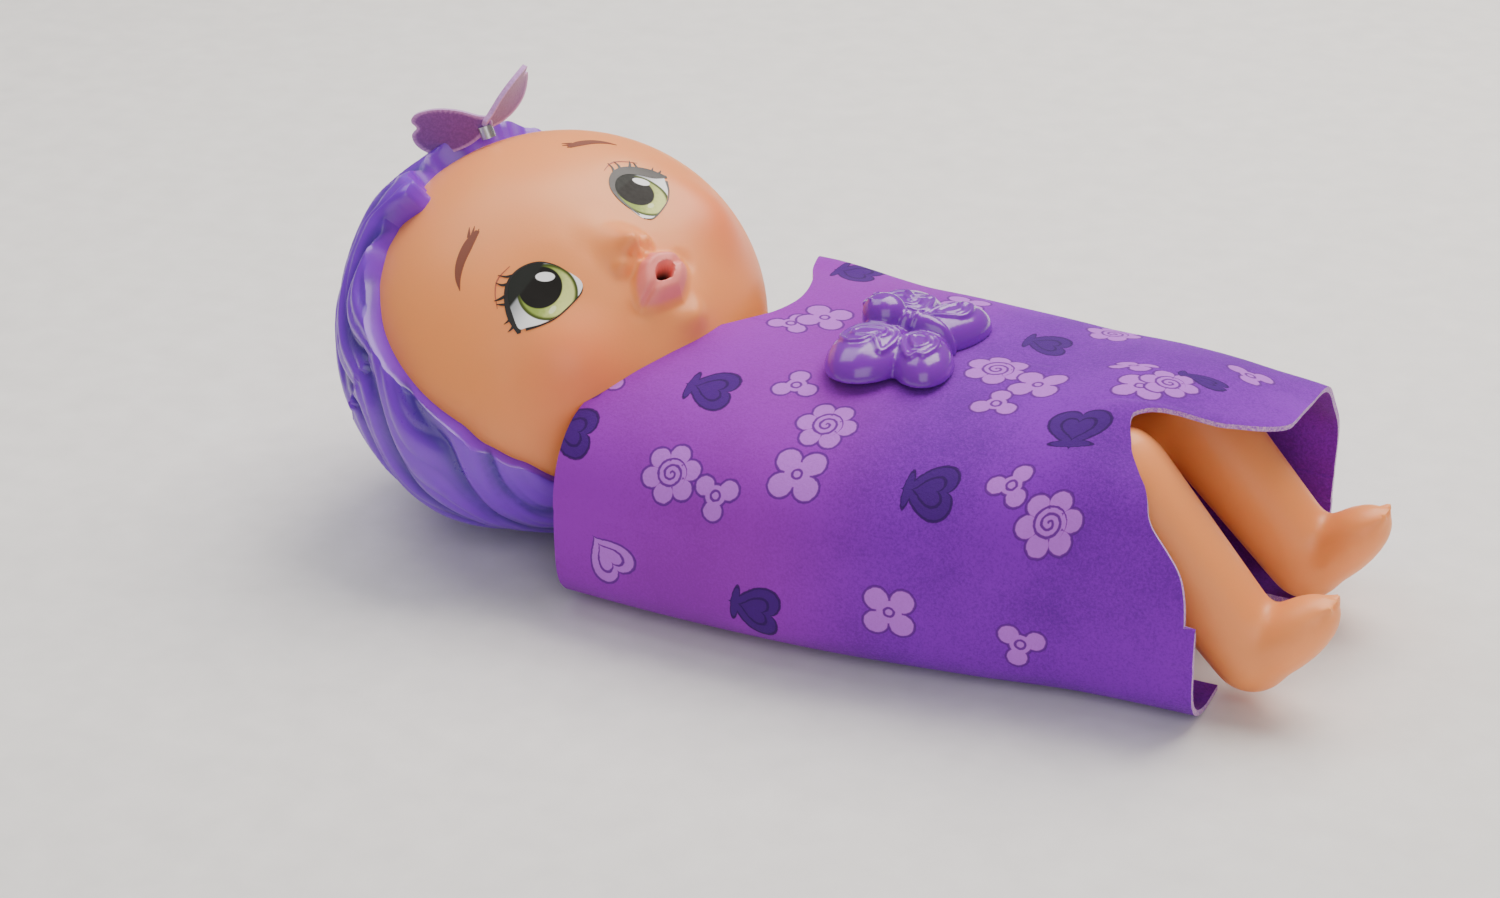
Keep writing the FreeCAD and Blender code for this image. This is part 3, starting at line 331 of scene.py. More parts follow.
def fine_grain():
    """Mottled tone and fine surface height of moulded plastic, vinyl and felt."""
    if "grain" not in GROUPS:
        graph, given, out = new_group("Fine Grain", [("Size", "Float", 900.0), ("Patch", "Float", 40.0)],
                                      [("Tone", "Float"), ("Height", "Float")])
        place = graph.place()
        fine = graph.noise(given["Size"], 4.0, place, 0.6)
        broad = graph.noise(given["Patch"], 2.0, place)
        tone = graph.math("ADD", graph.math("MULTIPLY", fine, 0.35), graph.math("MULTIPLY", broad, 0.65))
        graph.tree.links.new(tone, out["Tone"])
        graph.tree.links.new(fine, out["Height"])
        GROUPS["grain"] = graph.tree
    return GROUPS["grain"]


def flower_print():
    """A printed flower of round petals, its fill and its drawn lines, on flat cloth in centimetres."""
    if "flower" in GROUPS:
        return GROUPS["flower"]
    graph, given, out = new_group(
        "Printed Flower",
        [("Cloth", "Vector", None), ("Middle", "Vector", None), ("Turn", "Float", 0.0), ("Radius", "Float", 0.7),
         ("Petals", "Float", 4.0), ("Petal", "Float", 0.42), ("Ring", "Float", 0.12), ("Spiral", "Float", 0.0)],
        [("Fill", "Float"), ("Line", "Float")])
    away = graph.node("VectorMath", {0: given["Cloth"], 1: given["Middle"]}, operation="SUBTRACT").outputs[0]
    split = graph.node("SeparateXYZ", {0: away})
    x, y = split.outputs[0], split.outputs[1]
    reach = graph.math("SQRT", graph.math("ADD", graph.math("MULTIPLY", x, x), graph.math("MULTIPLY", y, y)))
    angle = graph.math("ADD", graph.math("ARCTAN2", y, x), given["Turn"])
    sector = graph.math("DIVIDE", math.tau, given["Petals"])
    half = graph.math("MULTIPLY", sector, 0.5)
    folded = graph.math("SUBTRACT", graph.math("FLOORED_MODULO", graph.math("ADD", angle, half), sector), half)
    along = graph.math("SUBTRACT", graph.math("MULTIPLY", reach, graph.math("COSINE", folded)),
                       graph.math("MULTIPLY", given["Radius"], graph.math("SUBTRACT", 1.0, given["Petal"])))
    across = graph.math("MULTIPLY", reach, graph.math("SINE", folded))
    petal = graph.math("SUBTRACT",
                       graph.math("SQRT", graph.math("ADD", graph.math("MULTIPLY", along, along),
                                                     graph.math("MULTIPLY", across, across))),
                       graph.math("MULTIPLY", given["Radius"], given["Petal"]))
    heart = graph.math("SUBTRACT", reach, graph.math("MULTIPLY", given["Radius"], 0.45))
    edge = graph.math("MINIMUM", petal, heart)
    rim = graph.math("ABSOLUTE", edge)
    ring = graph.math("ABSOLUTE", graph.math("SUBTRACT", reach, given["Ring"]))
    turns = graph.math("SUBTRACT", graph.math("DIVIDE", reach, SWIRL_PITCH),
                       graph.math("DIVIDE", angle, math.tau))
    swirl = graph.math("MULTIPLY", SWIRL_PITCH, graph.math("ABSOLUTE", graph.math(
        "SUBTRACT", graph.math("FRACT", turns), 0.5)))
    outside = graph.math("GREATER_THAN", reach, graph.math("MULTIPLY", given["Radius"], 0.52))
    swirl = graph.math("ADD", swirl, outside)
    inner = graph.node("Mix", {0: given["Spiral"], 2: ring, 3: swirl}, data_type="FLOAT").outputs[0]
    line = graph.math("MINIMUM", rim, inner)
    graph.tree.links.new(graph.span(edge, 0.012, -0.012), out["Fill"])
    graph.tree.links.new(graph.span(line, *DRAWN_LINE), out["Line"])
    GROUPS["flower"] = graph.tree
    return graph.tree


def heart_print():
    """A printed heart with a smaller heart drawn in it, and a stem beside it that makes it a butterfly."""
    if "heart" in GROUPS:
        return GROUPS["heart"]
    graph, given, out = new_group(
        "Printed Heart",
        [("Cloth", "Vector", None), ("Middle", "Vector", None), ("Turn", "Float", 0.0), ("Radius", "Float", 0.6),
         ("Stem", "Float", 0.0)],
        [("Fill", "Float"), ("Line", "Float")])
    away = graph.node("VectorMath", {0: given["Cloth"], 1: given["Middle"]}, operation="SUBTRACT").outputs[0]
    turned = graph.node("VectorRotate", {"Vector": away, "Angle": given["Turn"]}, rotation_type="Z_AXIS")
    split = graph.node("SeparateXYZ", {0: turned.outputs[0]})
    wide = graph.math("MULTIPLY", given["Radius"], 1.15)
    x = graph.math("DIVIDE", graph.math("ABSOLUTE", split.outputs[0]), wide)
    y = graph.math("DIVIDE", split.outputs[1], given["Radius"])
    lifted = graph.math("SUBTRACT", graph.math("MULTIPLY", y, 1.1),
                        graph.math("MULTIPLY", 0.72, graph.math("SQRT", x)))
    heart = graph.math("SQRT", graph.math("ADD", graph.math("MULTIPLY", x, x),
                                          graph.math("MULTIPLY", lifted, lifted)))
    outer = graph.math("SUBTRACT", heart, 1.0)
    inner = graph.math("SUBTRACT", heart, 0.55)
    low = graph.math("ADD", y, 0.62)
    body = graph.math("SUBTRACT", graph.math("SQRT", graph.math(
        "ADD", graph.math("MULTIPLY", graph.math("MULTIPLY", x, 0.72), graph.math("MULTIPLY", x, 0.72)),
        graph.math("MULTIPLY", graph.math("MULTIPLY", low, 2.8), graph.math("MULTIPLY", low, 2.8)))), 0.5)
    body = graph.math("ADD", body, graph.math("MULTIPLY", 9.0, graph.math("SUBTRACT", 1.0, given["Stem"])))
    edge = graph.math("MINIMUM", outer, body)
    line = graph.math("MULTIPLY", given["Radius"], graph.math(
        "MINIMUM", graph.math("ABSOLUTE", edge), graph.math("ABSOLUTE", inner)))
    graph.tree.links.new(graph.span(edge, 0.03, -0.03), out["Fill"])
    graph.tree.links.new(graph.span(line, *DRAWN_LINE), out["Line"])
    GROUPS["heart"] = graph.tree
    return graph.tree


MATERIALS = {}


def settings():
    return bpy.context.scene.baby_doll


def skin_finish():
    if "skin" not in MATERIALS:
        look = settings().face
        finish = Finish("Soft Vinyl Skin", look.skin, 0.42, Subsurface_Weight=0.22, Subsurface_Scale=0.006,
                        Coat_Weight=0.04, Coat_Roughness=0.35)
        finish.set("Subsurface Radius", (1.0, 0.35, 0.2))
        grain = use_group(finish, fine_grain(), Size=1400.0, Patch=35.0)
        tone = finish.mix(grain["Tone"], shade(look.skin, 0.96), shade(look.skin, 1.04))
        blushed = finish.mix(finish.math("MULTIPLY", finish.attribute("blush"), 0.6), tone, look.blush)
        lips = finish.mix(finish.noise(260.0, 2.0), look.lips, shade(look.lips, 1.12))
        lipped = finish.mix(finish.attribute("lips"), blushed, lips)
        # Painted shade: the middle of the mouth is coloured near-black, for the shaded inside of the head.
        finish.set("Base Color", finish.mix(finish.attribute("mouth_shade"), lipped, (0.012, 0.004, 0.004)))
        finish.set("Roughness", finish.span(grain["Tone"], 0.2, 0.8, 0.38, 0.48))
        finish.set("Normal", finish.bump(grain["Height"], 0.00006, 0.5))
        MATERIALS["skin"] = finish.material
    return MATERIALS["skin"]


def hair_finish():
    if "hair" not in MATERIALS:
        look = settings().hair
        finish = Finish("Glossy Moulded Hair", look.colour, 0.3, Coat_Weight=0.25, Coat_Roughness=0.2,
                        Subsurface_Weight=0.08, Subsurface_Scale=0.003)
        grain = use_group(finish, fine_grain(), Size=500.0, Patch=60.0)
        # Painted shade: the hair is coloured darker down in the grooves between the locks.
        groove_shade = finish.mix(finish.span(finish.attribute("groove"), 0.1, 0.75), look.colour, look.groove_shade)
        light = finish.span(grain["Tone"], 0.45, 0.95)
        finish.set("Base Color", finish.mix(light, groove_shade, shade(look.colour, 1.15)))
        finish.set("Roughness", finish.span(grain["Tone"], 0.2, 0.8, 0.26, 0.38))
        finish.set("Normal", finish.bump(grain["Height"], 0.00008, 0.6))
        MATERIALS["hair"] = finish.material
    return MATERIALS["hair"]


# Printed motifs: kind, place along and round the cloth in centimetres, turn in degrees and size.
# Along is from the waist to the feet, and round is from the middle of the chest to the doll's right.
PRINTS = [
    ("flower3", -2.4, -0.35, 200, 0.62), ("flower4", -1.75, -1.05, 45, 0.78), ("butterfly", -3.1, 3.25, 90, 0.62),
    ("flower3", -0.95, 2.5, 100, 0.65), ("rose", 0.43, 3.77, 0, 0.8), ("flower4", 0.25, 5.3, 45, 0.8),
    ("rose", -2.95, 5.9, 20, 0.8), ("flower3", -1.65, 6.2, 30, 0.65), ("butterfly", 3.43, 5.3, 90, 0.62),
    ("flower3", 5.5, 5.0, 60, 0.62), ("rose", 6.6, 5.9, 10, 0.8), ("butterfly", 6.55, 3.4, 180, 0.65),
    ("rose", 3.63, 0.5, 40, 0.85), ("flower4", 4.9, 1.1, 40, 0.8), ("flower3", 4.2, 2.2, 90, 0.65),
    ("butterfly", 4.15, -1.9, 90, 0.6), ("flower4", 7.5, 1.2, 45, 0.75), ("rose", 8.1, 0.7, 0, 0.75),
    ("flower4", 7.0, -0.3, 30, 0.7), ("butterfly", 8.6, -0.4, 90, 0.6), ("flower3", -5.8, 3.8, 10, 0.6),
    ("butterfly", -6.1, 5.4, 90, 0.6), ("butterfly", -2.5, -4.5, 90, 0.6), ("flower4", 1.2, -3.7, 45, 0.75),
    ("rose", 5.6, -3.8, 0, 0.8), ("flower3", 9.6, -2.6, 40, 0.65), ("flower4", -3.6, -6.6, 20, 0.75),
    ("flower3", 1.6, -6.3, 80, 0.65), ("butterfly", 7.6, -6.0, 100, 0.62), ("rose", 4.4, -8.0, 30, 0.8),
    ("flower4", -1.0, -9.0, 45, 0.75), ("flower4", 3.0, 8.4, 45, 0.78), ("butterfly", -0.6, 9.0, 80, 0.62),
    ("flower3", 6.2, 8.8, 20, 0.65), ("rose", 8.9, -8.6, 0, 0.75), ("heart", -4.6, 8.4, 40, 0.6),
]


def felt_finish():
    if "felt" in MATERIALS:
        return MATERIALS["felt"]
    look = settings().swaddle
    finish = Finish("Printed Purple Felt", look.felt, 0.85, Sheen_Weight=0.1, Sheen_Roughness=0.45,
                    Specular_IOR_Level=0.25)
    finish.set("Sheen Tint", (0.86, 0.7, 1.0, 1.0))
    cloth = finish.node("UVMap", uv_map="cloth").outputs[0]
    scaled = finish.node("VectorMath", {0: cloth, 1: (10.0, 10.0, 1.0)}, operation="MULTIPLY").outputs[0]
    # Fibres wobble a printed edge a little.
    ragged = finish.node("TexNoise", {"Vector": scaled, "Scale": 9.0, "Detail": 3.0}).outputs["Color"]
    wobble = finish.node("VectorMath", {0: ragged, 1: (0.5, 0.5, 0.5)}, operation="SUBTRACT").outputs[0]
    moved = finish.node("VectorMath", {0: wobble, 1: (0.05, 0.05, 0.0), 2: scaled},
                        operation="MULTIPLY_ADD").outputs[0]
    nap = finish.noise(1500.0, 5.0, roughness=0.75)
    patch = finish.noise(28.0, 3.0)
    fuzz = finish.math("ADD", finish.math("MULTIPLY", nap, 0.6), finish.math("MULTIPLY", patch, 0.4))
    rosy = finish.span(finish.node("SeparateXYZ", {0: cloth}).outputs[0], 0.35, -0.1)
    ground = finish.mix(finish.span(fuzz, 0.38, 0.6), look.shade, look.felt)
    ground = finish.mix(finish.math("MULTIPLY", rosy, 0.45), ground, look.rosy)
    light = finish.mix(finish.span(fuzz, 0.3, 0.7), shade(look.pale_print, 0.85), look.pale_print)
    dark = finish.mix(finish.span(fuzz, 0.3, 0.7), shade(look.dark_print, 0.8), look.dark_print)
    colour = ground
    for kind, along, around, turn, radius in PRINTS:
        given = {"Cloth": moved, "Middle": (along, around, 0.0), "Turn": math.radians(turn), "Radius": radius}
        if kind.startswith("flower"):
            made = use_group(finish, flower_print(), Petals=float(kind[-1]), **given)
            fill, line = light, look.print_line
        elif kind == "rose":
            made = use_group(finish, flower_print(), Petals=6.0, Petal=0.36, Spiral=1.0, **given)
            fill, line = light, look.print_line
        else:
            made = use_group(finish, heart_print(), Stem=1.0 if kind == "butterfly" else 0.0, **given)
            fill, line = (light, look.print_line) if kind == "heart" else (dark, shade(look.dark_print, 0.45))
        colour = finish.mix(made["Fill"], colour, fill)
        colour = finish.mix(finish.math("MULTIPLY", made["Line"], 0.9), colour, line)
    finish.set("Base Color", colour)
    finish.set("Roughness", finish.span(fuzz, 0.2, 0.8, 0.78, 0.95))
    finish.set("Normal", finish.bump(finish.math("ADD", nap, finish.noise(420.0, 3.0)), 0.00025, 0.6))
    MATERIALS["felt"] = finish.material
    return finish.material


def cut_edge_finish():
    if "cut_edge" not in MATERIALS:
        look = settings().swaddle
        finish = Finish("Raw Felt Edge", look.edge, 0.95, Sheen_Weight=0.3)
        fibres = finish.noise(1800.0, 5.0, roughness=0.8)
        finish.set("Base Color", finish.mix(finish.span(fibres, 0.35, 0.7), shade(look.felt, 1.2), look.edge))
        finish.set("Normal", finish.bump(fibres, 0.0003, 0.9))
        MATERIALS["cut_edge"] = finish.material
    return MATERIALS["cut_edge"]


def clasp_finish():
    if "clasp" not in MATERIALS:
        look = settings().clasp
        finish = Finish("Glossy Purple Clasp", look.colour, 0.24, Coat_Weight=0.35, Coat_Roughness=0.1,
                        Subsurface_Weight=0.05, Subsurface_Scale=0.002)
        grain = use_group(finish, fine_grain(), Size=260.0, Patch=70.0)
        # Painted shade: darker where a groove attribute is marked; the clasp's mesh marks no grooves.
        groove_shade = finish.mix(finish.attribute("groove"), look.colour, shade(look.colour, 0.6))
        finish.set("Base Color", finish.mix(grain["Tone"], groove_shade, shade(look.colour, 1.12)))
        finish.set("Roughness", finish.span(grain["Tone"], 0.2, 0.8, 0.17, 0.26))
        finish.set("Normal", finish.bump(grain["Height"], 0.00004, 0.35))
        MATERIALS["clasp"] = finish.material
    return MATERIALS["clasp"]


def plain_finish(key, name, base, roughness, size=700.0, relief=0.00005, **sockets):
    """A moulded, drawn or woven finish with mottled tone and fine relief."""
    if key not in MATERIALS:
        finish = Finish(name, base, roughness, **sockets)
        grain = use_group(finish, fine_grain(), Size=size, Patch=90.0)
        finish.set("Base Color", finish.mix(grain["Tone"], shade(base, 0.88), shade(base, 1.1)))
        smooth, rough = roughness * 0.85, min(1.0, roughness * 1.15)
        finish.set("Roughness", finish.span(grain["Tone"], 0.2, 0.8, smooth, rough))
        finish.set("Normal", finish.bump(grain["Height"], relief, 0.6))
        MATERIALS[key] = finish.material
    return MATERIALS[key]


def slot_finish(slot):
    """The finish of each material slot of the record."""
    look = settings()
    if slot == "skin":
        return skin_finish()
    if slot == "hair":
        return hair_finish()
    if slot == "felt":
        return felt_finish()
    if slot == "clasp":
        return clasp_finish()
    table = {
        "bow_felt": ("Bow Felt", look.bow.colour, 0.9, {"size": 1500.0, "relief": 0.0002, "Sheen_Weight": 0.5}),
        "vinyl": ("Torso Vinyl", look.face.skin, 0.5, {}),
        "white_plastic": ("White Plastic", (0.8, 0.79, 0.77), 0.4, {}),
        "dark_plastic": ("Dark Plastic", (0.03, 0.03, 0.035), 0.45, {}),
        "board": ("Green Circuit Board", (0.02, 0.16, 0.06), 0.35, {"size": 400.0, "Coat_Weight": 0.4}),
        "steel": ("Bright Steel", (0.55, 0.55, 0.56), 0.28, {"size": 1200.0, "Metallic": 1.0}),
        "battery": ("Battery Jacket", (0.12, 0.12, 0.13), 0.3, {"Coat_Weight": 0.3}),
        "wire": ("Wire Insulation", (0.45, 0.02, 0.02), 0.4, {}),
        "elastic": ("Knitted Elastic", (0.62, 0.45, 0.72), 0.85, {"size": 1100.0, "relief": 0.0002}),
    }
    name, base, roughness, more = table[slot]
    return plain_finish(slot, name, base, roughness, **more)


# ---- Settings ----------------------------------------------------------------------------------

def colour_property(name, description, default):
    return FloatVectorProperty(name=name, description=description, default=default, subtype="COLOR", size=3,
                               min=0.0, max=1.0)


class StageSettings(bpy.types.PropertyGroup):
    floor: colour_property("Floor", "Colour of the floor", (0.86, 0.85, 0.84))
    lens: FloatProperty(name="Lens", description="Focal length of the camera", default=70.4, unit="CAMERA")
    key_light: FloatProperty(name="Key Light", description="Power of the main soft light", default=19.5,
                             subtype="POWER", unit="POWER")
    fill_light: FloatProperty(name="Fill Light", description="Power of the light beside the camera", default=4.0,
                              subtype="POWER", unit="POWER")
    sky: FloatProperty(name="Sky", description="Brightness of the room", default=0.3, min=0.0)


class FaceSettings(bpy.types.PropertyGroup):
    skin: colour_property("Skin", "Colour of the soft vinyl", (0.98, 0.32, 0.09))
    blush: colour_property("Blush", "Colour of the sprayed cheeks", (0.92, 0.17, 0.06))
    lips: colour_property("Lips", "Colour of the lips", (0.86, 0.22, 0.19))
    iris: colour_property("Iris", "Main colour of the eyes", (0.40, 0.55, 0.10))
    brow: colour_property("Brow", "Colour of the painted brows", (0.20, 0.05, 0.025))
    lip_height: FloatProperty(name="Lip Height", description="How far the lips stand out", default=0.0052,
                              subtype="DISTANCE", unit="LENGTH")


class HairSettings(bpy.types.PropertyGroup):
    colour: colour_property("Hair", "Colour of the moulded hair", (0.19, 0.014, 0.60))
    # Painted shade: the colour that the grooves between the strands are darkened to.
    groove_shade: colour_property("Grooves", "Colour between the strands", (0.06, 0.012, 0.28))
    strand_height: FloatProperty(name="Strand Height", description="Height of the wavy strands", default=0.0034,
                                 subtype="DISTANCE", unit="LENGTH")


class BowSettings(bpy.types.PropertyGroup):
    colour: colour_property("Back", "Colour of the wings' backs", (0.25, 0.07, 0.36))
    front: colour_property("Front", "Colour of the wings' fronts", (0.70, 0.16, 0.34))


class SwaddleSettings(bpy.types.PropertyGroup):
    felt: colour_property("Felt", "Lit colour of the felt", (0.225, 0.006, 0.50))
    shade: colour_property("Felt Shade", "Deeper colour between the fibres", (0.125, 0.003, 0.31))
    rosy: colour_property("Rosy Tint", "Tint of the felt toward the head", (0.40, 0.025, 0.48))
    edge: colour_property("Cut Edge", "Colour of the raw cut edges", (0.85, 0.60, 0.70))
    pale_print: colour_property("Pale Print", "Colour of flowers and hearts", (0.52, 0.13, 0.76))
    dark_print: colour_property("Dark Print", "Colour of the butterflies", (0.065, 0.004, 0.20))
    print_line: colour_property("Print Line", "Colour of drawn lines", (0.10, 0.006, 0.22))
    thickness: FloatProperty(name="Thickness", description="Thickness of the felt", default=0.0015,
                             subtype="DISTANCE", unit="LENGTH")
    columns: IntProperty(name="Columns", description="Mesh divisions round the cloth", default=300, min=60)
    rows: IntProperty(name="Rows", description="Mesh divisions along the cloth", default=150, min=40)


class ClaspSettings(bpy.types.PropertyGroup):
    colour: colour_property("Clasp", "Colour of the moulded clasp", (0.18, 0.005, 0.40))
    grain: FloatProperty(name="Mesh Grain", description="Size of the clasp's mesh faces", default=0.0004,
                         subtype="DISTANCE", unit="LENGTH")


class DollSettings(bpy.types.PropertyGroup):
    stage: PointerProperty(type=StageSettings, name="Stage", description="Floor, camera and lights")
    face: PointerProperty(type=FaceSettings, name="Face", description="Face and skin")
    hair: PointerProperty(type=HairSettings, name="Hair", description="Moulded hair")
    bow: PointerProperty(type=BowSettings, name="Bow", description="Felt bow")
    swaddle: PointerProperty(type=SwaddleSettings, name="Swaddle", description="Printed felt swaddle")
    clasp: PointerProperty(type=ClaspSettings, name="Clasp", description="Butterfly clasp")


# ---- Stage -------------------------------------------------------------------------------------

CAMERA_PLACE, CAMERA_LOOK = (0.2651, -0.6309, 0.3815), Vector((-0.3748, 0.8075, -0.4555))
DOLL_MIDDLE, HEAD_MIDDLE = (0.0, 0.0, 0.05), (-0.08, 0.0, 0.06)
WARM_WHITE = (1.0, 0.93, 0.86)


def soft_light(name, place, aim, power, wide, tint=(1.0, 1.0, 1.0)):
    bpy.ops.object.light_add(type="AREA", location=place)
    lamp = added(name)
    lamp.rotation_euler = (Vector(aim) - Vector(place)).to_track_quat("-Z", "Y").to_euler()
    lamp.data.energy = power
    lamp.data.size = wide
    lamp.data.color = tint
    return lamp


class DOLL_OT_stage(bpy.types.Operator):
    """Add the floor, the camera and soft studio lights"""
    bl_idname = "doll.stage"
    bl_label = "Stage"

    def execute(self, context):
        look = settings().stage
        deselect()
        bpy.ops.mesh.primitive_plane_add(size=30, location=(0, 0, -0.0002))
        floor = added("floor")
        floor.data.materials.append(plain_finish("floor", "Pale Floor", tuple(look.floor), 0.75, 60.0, 0.00002))
        bpy.ops.object.camera_add(location=CAMERA_PLACE)
        camera = added("camera")
        camera.rotation_euler = CAMERA_LOOK.to_track_quat("-Z", "Y").to_euler()
        camera.data.lens = look.lens
        camera.data.clip_start = 0.02
        context.scene.camera = camera
        soft_light("key_light", (0.15, 0.55, 1.0), DOLL_MIDDLE, look.key_light, 0.9, WARM_WHITE)
        soft_light("fill_light", (0.45, -0.8, 0.6), DOLL_MIDDLE, look.fill_light, 0.8)
        soft_light("top_light", (-0.5, 0.1, 0.9), HEAD_MIDDLE, look.fill_light * 0.9, 0.6)
        world = bpy.data.worlds.new("room")
        world.use_nodes = True
        world.node_tree.nodes["Background"].inputs[0].default_value = (1.0, 0.98, 0.97, 1.0)
        world.node_tree.nodes["Background"].inputs[1].default_value = look.sky
        context.scene.world = world
        return {"FINISHED"}


# ---- Face --------------------------------------------------------------------------------------

MOUTH = (0.0, -22.6)        # the middle of the mouth on the upright face, in millimetres
LIPS_WIDE, UPPER_LIP, LOWER_LIP, LIP_BOW = 8.9, 6.7, 6.0, 0.9
LIPS_END, LIPS_FULL = 1.32, 0.66            # shares of the lips' outline where they rise and where they are full
HOLLOW_EDGE, HOLLOW_END, HOLLOW_DEPTH = 0.44, 0.14, 1.5
# Pulls in millimetres on the middle of the face: nose, its tip, its bridge, chin, lower chin, lip fold, forehead.
MIDDLE_PULLS = [((43.5, 0, -10.5), (4.8, 0, -0.4), 9.5), ((47, 0, -11), (2.4, 0, -0.3), 5.0),
                ((44, 0, -3), (1.0, 0, 0), 9), ((41, 0, -33), (1.6, 0, -0.8), 13),
                ((40, 0, -36.5), (1.2, 0, -1.0), 7), ((40, 0, -30), (-1.0, 0, 0), 6), ((44, 0, 22), (1.0, 0, 0), 26)]
# Pulls on its left side: nose wing, nostril, eye socket, cheek, corner of the mouth.
SIDE_PULLS = [((43, 4.6, -12.4), (1.7, 0.7, 0), 3.6), ((48, 2.4, -15.4), (-1.3, 0, 0.9), 1.8),
              ((42, 21, -3), (-1.2, 0, 0), 15), ((36, 33, -20), (1.8, 1.6, -0.6), 18),
              ((38, 10.4, -22.6), (-0.7, 0, 0), 4.8)]
FACE_FRONT = 0.02           # the mouth lies on the half of the head further forward than this
RING_GATHERING = 1.35


def mouth_reach(y, z):
    """How far a point is from the middle of the mouth, as a share of the lips' outline."""
    across, up = y - MOUTH[0], z - MOUTH[1]
    angle = math.atan2(up, across)
    high = UPPER_LIP if up > 0 else LOWER_LIP
    bow = LIP_BOW * math.exp(-(across / 1.7) ** 2) if up > 0 else 0.0
    corner = 1.0 - 0.12 * abs(math.sin(2 * angle))
    return math.hypot(across / LIPS_WIDE, up / (high - bow)) / corner


def lip_profile(reach):
    """Height of the lips across their width, from the hollow in the middle to the skin."""
    hollow = smooth_step(HOLLOW_EDGE, HOLLOW_END, reach)
    return smooth_step(LIPS_END, LIPS_FULL, reach) - HOLLOW_DEPTH * hollow


def shape_lips(face, height):
    for vertex in face.data.vertices:
        if vertex.co.x < FACE_FRONT:
            continue
        y, z = vertex.co.y / MM, vertex.co.z / MM
        reach = mouth_reach(y, z)
        if reach < 1.45:
            seam = math.exp(-((z - MOUTH[1] + 0.3) / 0.9) ** 2) * smooth_step(0.25, 0.95, abs(y) / LIPS_WIDE)
            vertex.co.x += height * (lip_profile(reach) - 0.35 * seam * smooth_step(1.3, 0.8, reach))


def mouth_mark(co, low, high):
    """1 within a share of the lips' outline, fading to 0."""
    return smooth_step(low, high, mouth_reach(co.y / MM, co.z / MM)) if co.x > FACE_FRONT else 0.0


def blush_of(point):
    y, z = point.y / MM, point.z / MM
    cheek = math.exp(-((abs(y) - 34) / 15) ** 2 - ((z + 22) / 15) ** 2)
    near_nose = 0.25 * math.exp(-(y / 8) ** 2 - ((z + 12) / 7) ** 2)
    return min(1.0, cheek + near_nose) if point.x > 0 else 0.0


class DOLL_OT_face(bpy.types.Operator):
    """Sculpt the soft vinyl face with its nose, lips, cheeks and chin"""
    bl_idname = "doll.face"
    bl_label = "Face"

    def execute(self, context):
        deselect()
        bpy.ops.mesh.primitive_uv_sphere_add(segments=144, ring_count=110, radius=1.0)
        face = added("doll_face")
        # Rings are gathered about the mouth, where the detail is.
        for vertex in face.data.vertices:
            polar = math.acos(max(-1.0, min(1.0, vertex.co.z)))
            gathered = math.pi * (polar / math.pi) ** RING_GATHERING
            flat = Vector((vertex.co.x, vertex.co.y, 0.0))
            if flat.length > 1e-9:
                flat.normalize()
            vertex.co = flat * math.sin(gathered) + Vector((0, 0, math.cos(gathered)))
        drop = math.atan2(-MOUTH[1] / FACE_SIZE.z, 0.93)
        turn = Matrix.Rotation(math.pi / 2 + drop, 4, "Y")
        face.data.transform(Matrix.Diagonal((*(FACE_SIZE * MM), 1.0)) @ turn)
        pull(face, *MIDDLE_PULLS, *[mirrored(entry, side) for side in (1, -1) for entry in SIDE_PULLS])
        apply_modifier(face, "SUBSURF", levels=1, render_levels=1)
        shape_lips(face, settings().face.lip_height)
        pull(face, ((44, 0, -17.2), (-0.5, 0, 0), 2.0))
        mark(face, "lips", lambda co: mouth_mark(co, 1.12, 1.0))
        # Marks the middle of the mouth, where the skin's finish paints near-black shade.
        mark(face, "mouth_shade", lambda co: mouth_mark(co, 0.33, 0.22))
        mark(face, "blush", blush_of)
        settle(face, HEAD)
        paint(face, skin_finish(), "head", ["head_shell"])
        return {"FINISHED"}


def on_face(y, z, lift=0.0):
    """A flat place on the face: its X to the doll's left, its Y up the face, its Z out of the skin."""
    x = FACE_SIZE.x * math.sqrt(max(0.05, 1 - (y / FACE_SIZE.y) ** 2 - (z / FACE_SIZE.z) ** 2))
    out = Vector((x / FACE_SIZE.x ** 2, y / FACE_SIZE.y ** 2, z / FACE_SIZE.z ** 2)).normalized()
    side = Vector((0, 0, 1)).cross(out).normalized()
    up = out.cross(side)
    turn = Matrix((side, up, out)).transposed().to_4x4()
    return HEAD @ Matrix.Translation(Vector((x, y, z)) * MM + out * lift * MM) @ turn


def wrap_on(piece, target, place, offset):
    """Lay a flat painted shape on the skin and give it a little thickness."""
    piece.matrix_world = place
    bpy.context.view_layer.update()
    apply_modifier(piece, "SHRINKWRAP", target=target, wrap_method="PROJECT", use_project_z=True,
                   use_negative_direction=True, use_positive_direction=True, offset=offset * MM)
    settle(piece)
    apply_modifier(piece, "SOLIDIFY", thickness=0.15 * MM, offset=-1.0)
    return tidy_faces(piece, 0.0)


def painted_patch(name, outline, rings=10, count=96):
    """A filled shape of rings about its middle, with its flat place stored for the material."""
    deselect()
    bpy.ops.mesh.primitive_grid_add(x_subdivisions=count, y_subdivisions=rings, size=2)
    piece = added(name)
    middle = [sum(axis) / len(outline) for axis in zip(*outline)]
    for vertex in piece.data.vertices:
        share = (vertex.co.x + 1) / 2
        ring = (vertex.co.y + 1) / 2
        edge = spline_point(outline, share % 1.0, closed=True)
        flat = [m + (e - m) * ring for m, e in zip(middle, edge)]
        vertex.co = (flat[0] * MM, flat[1] * MM, 0.0)
    tidy_faces(piece, 0.000001)
    flat_map(piece)
    return piece


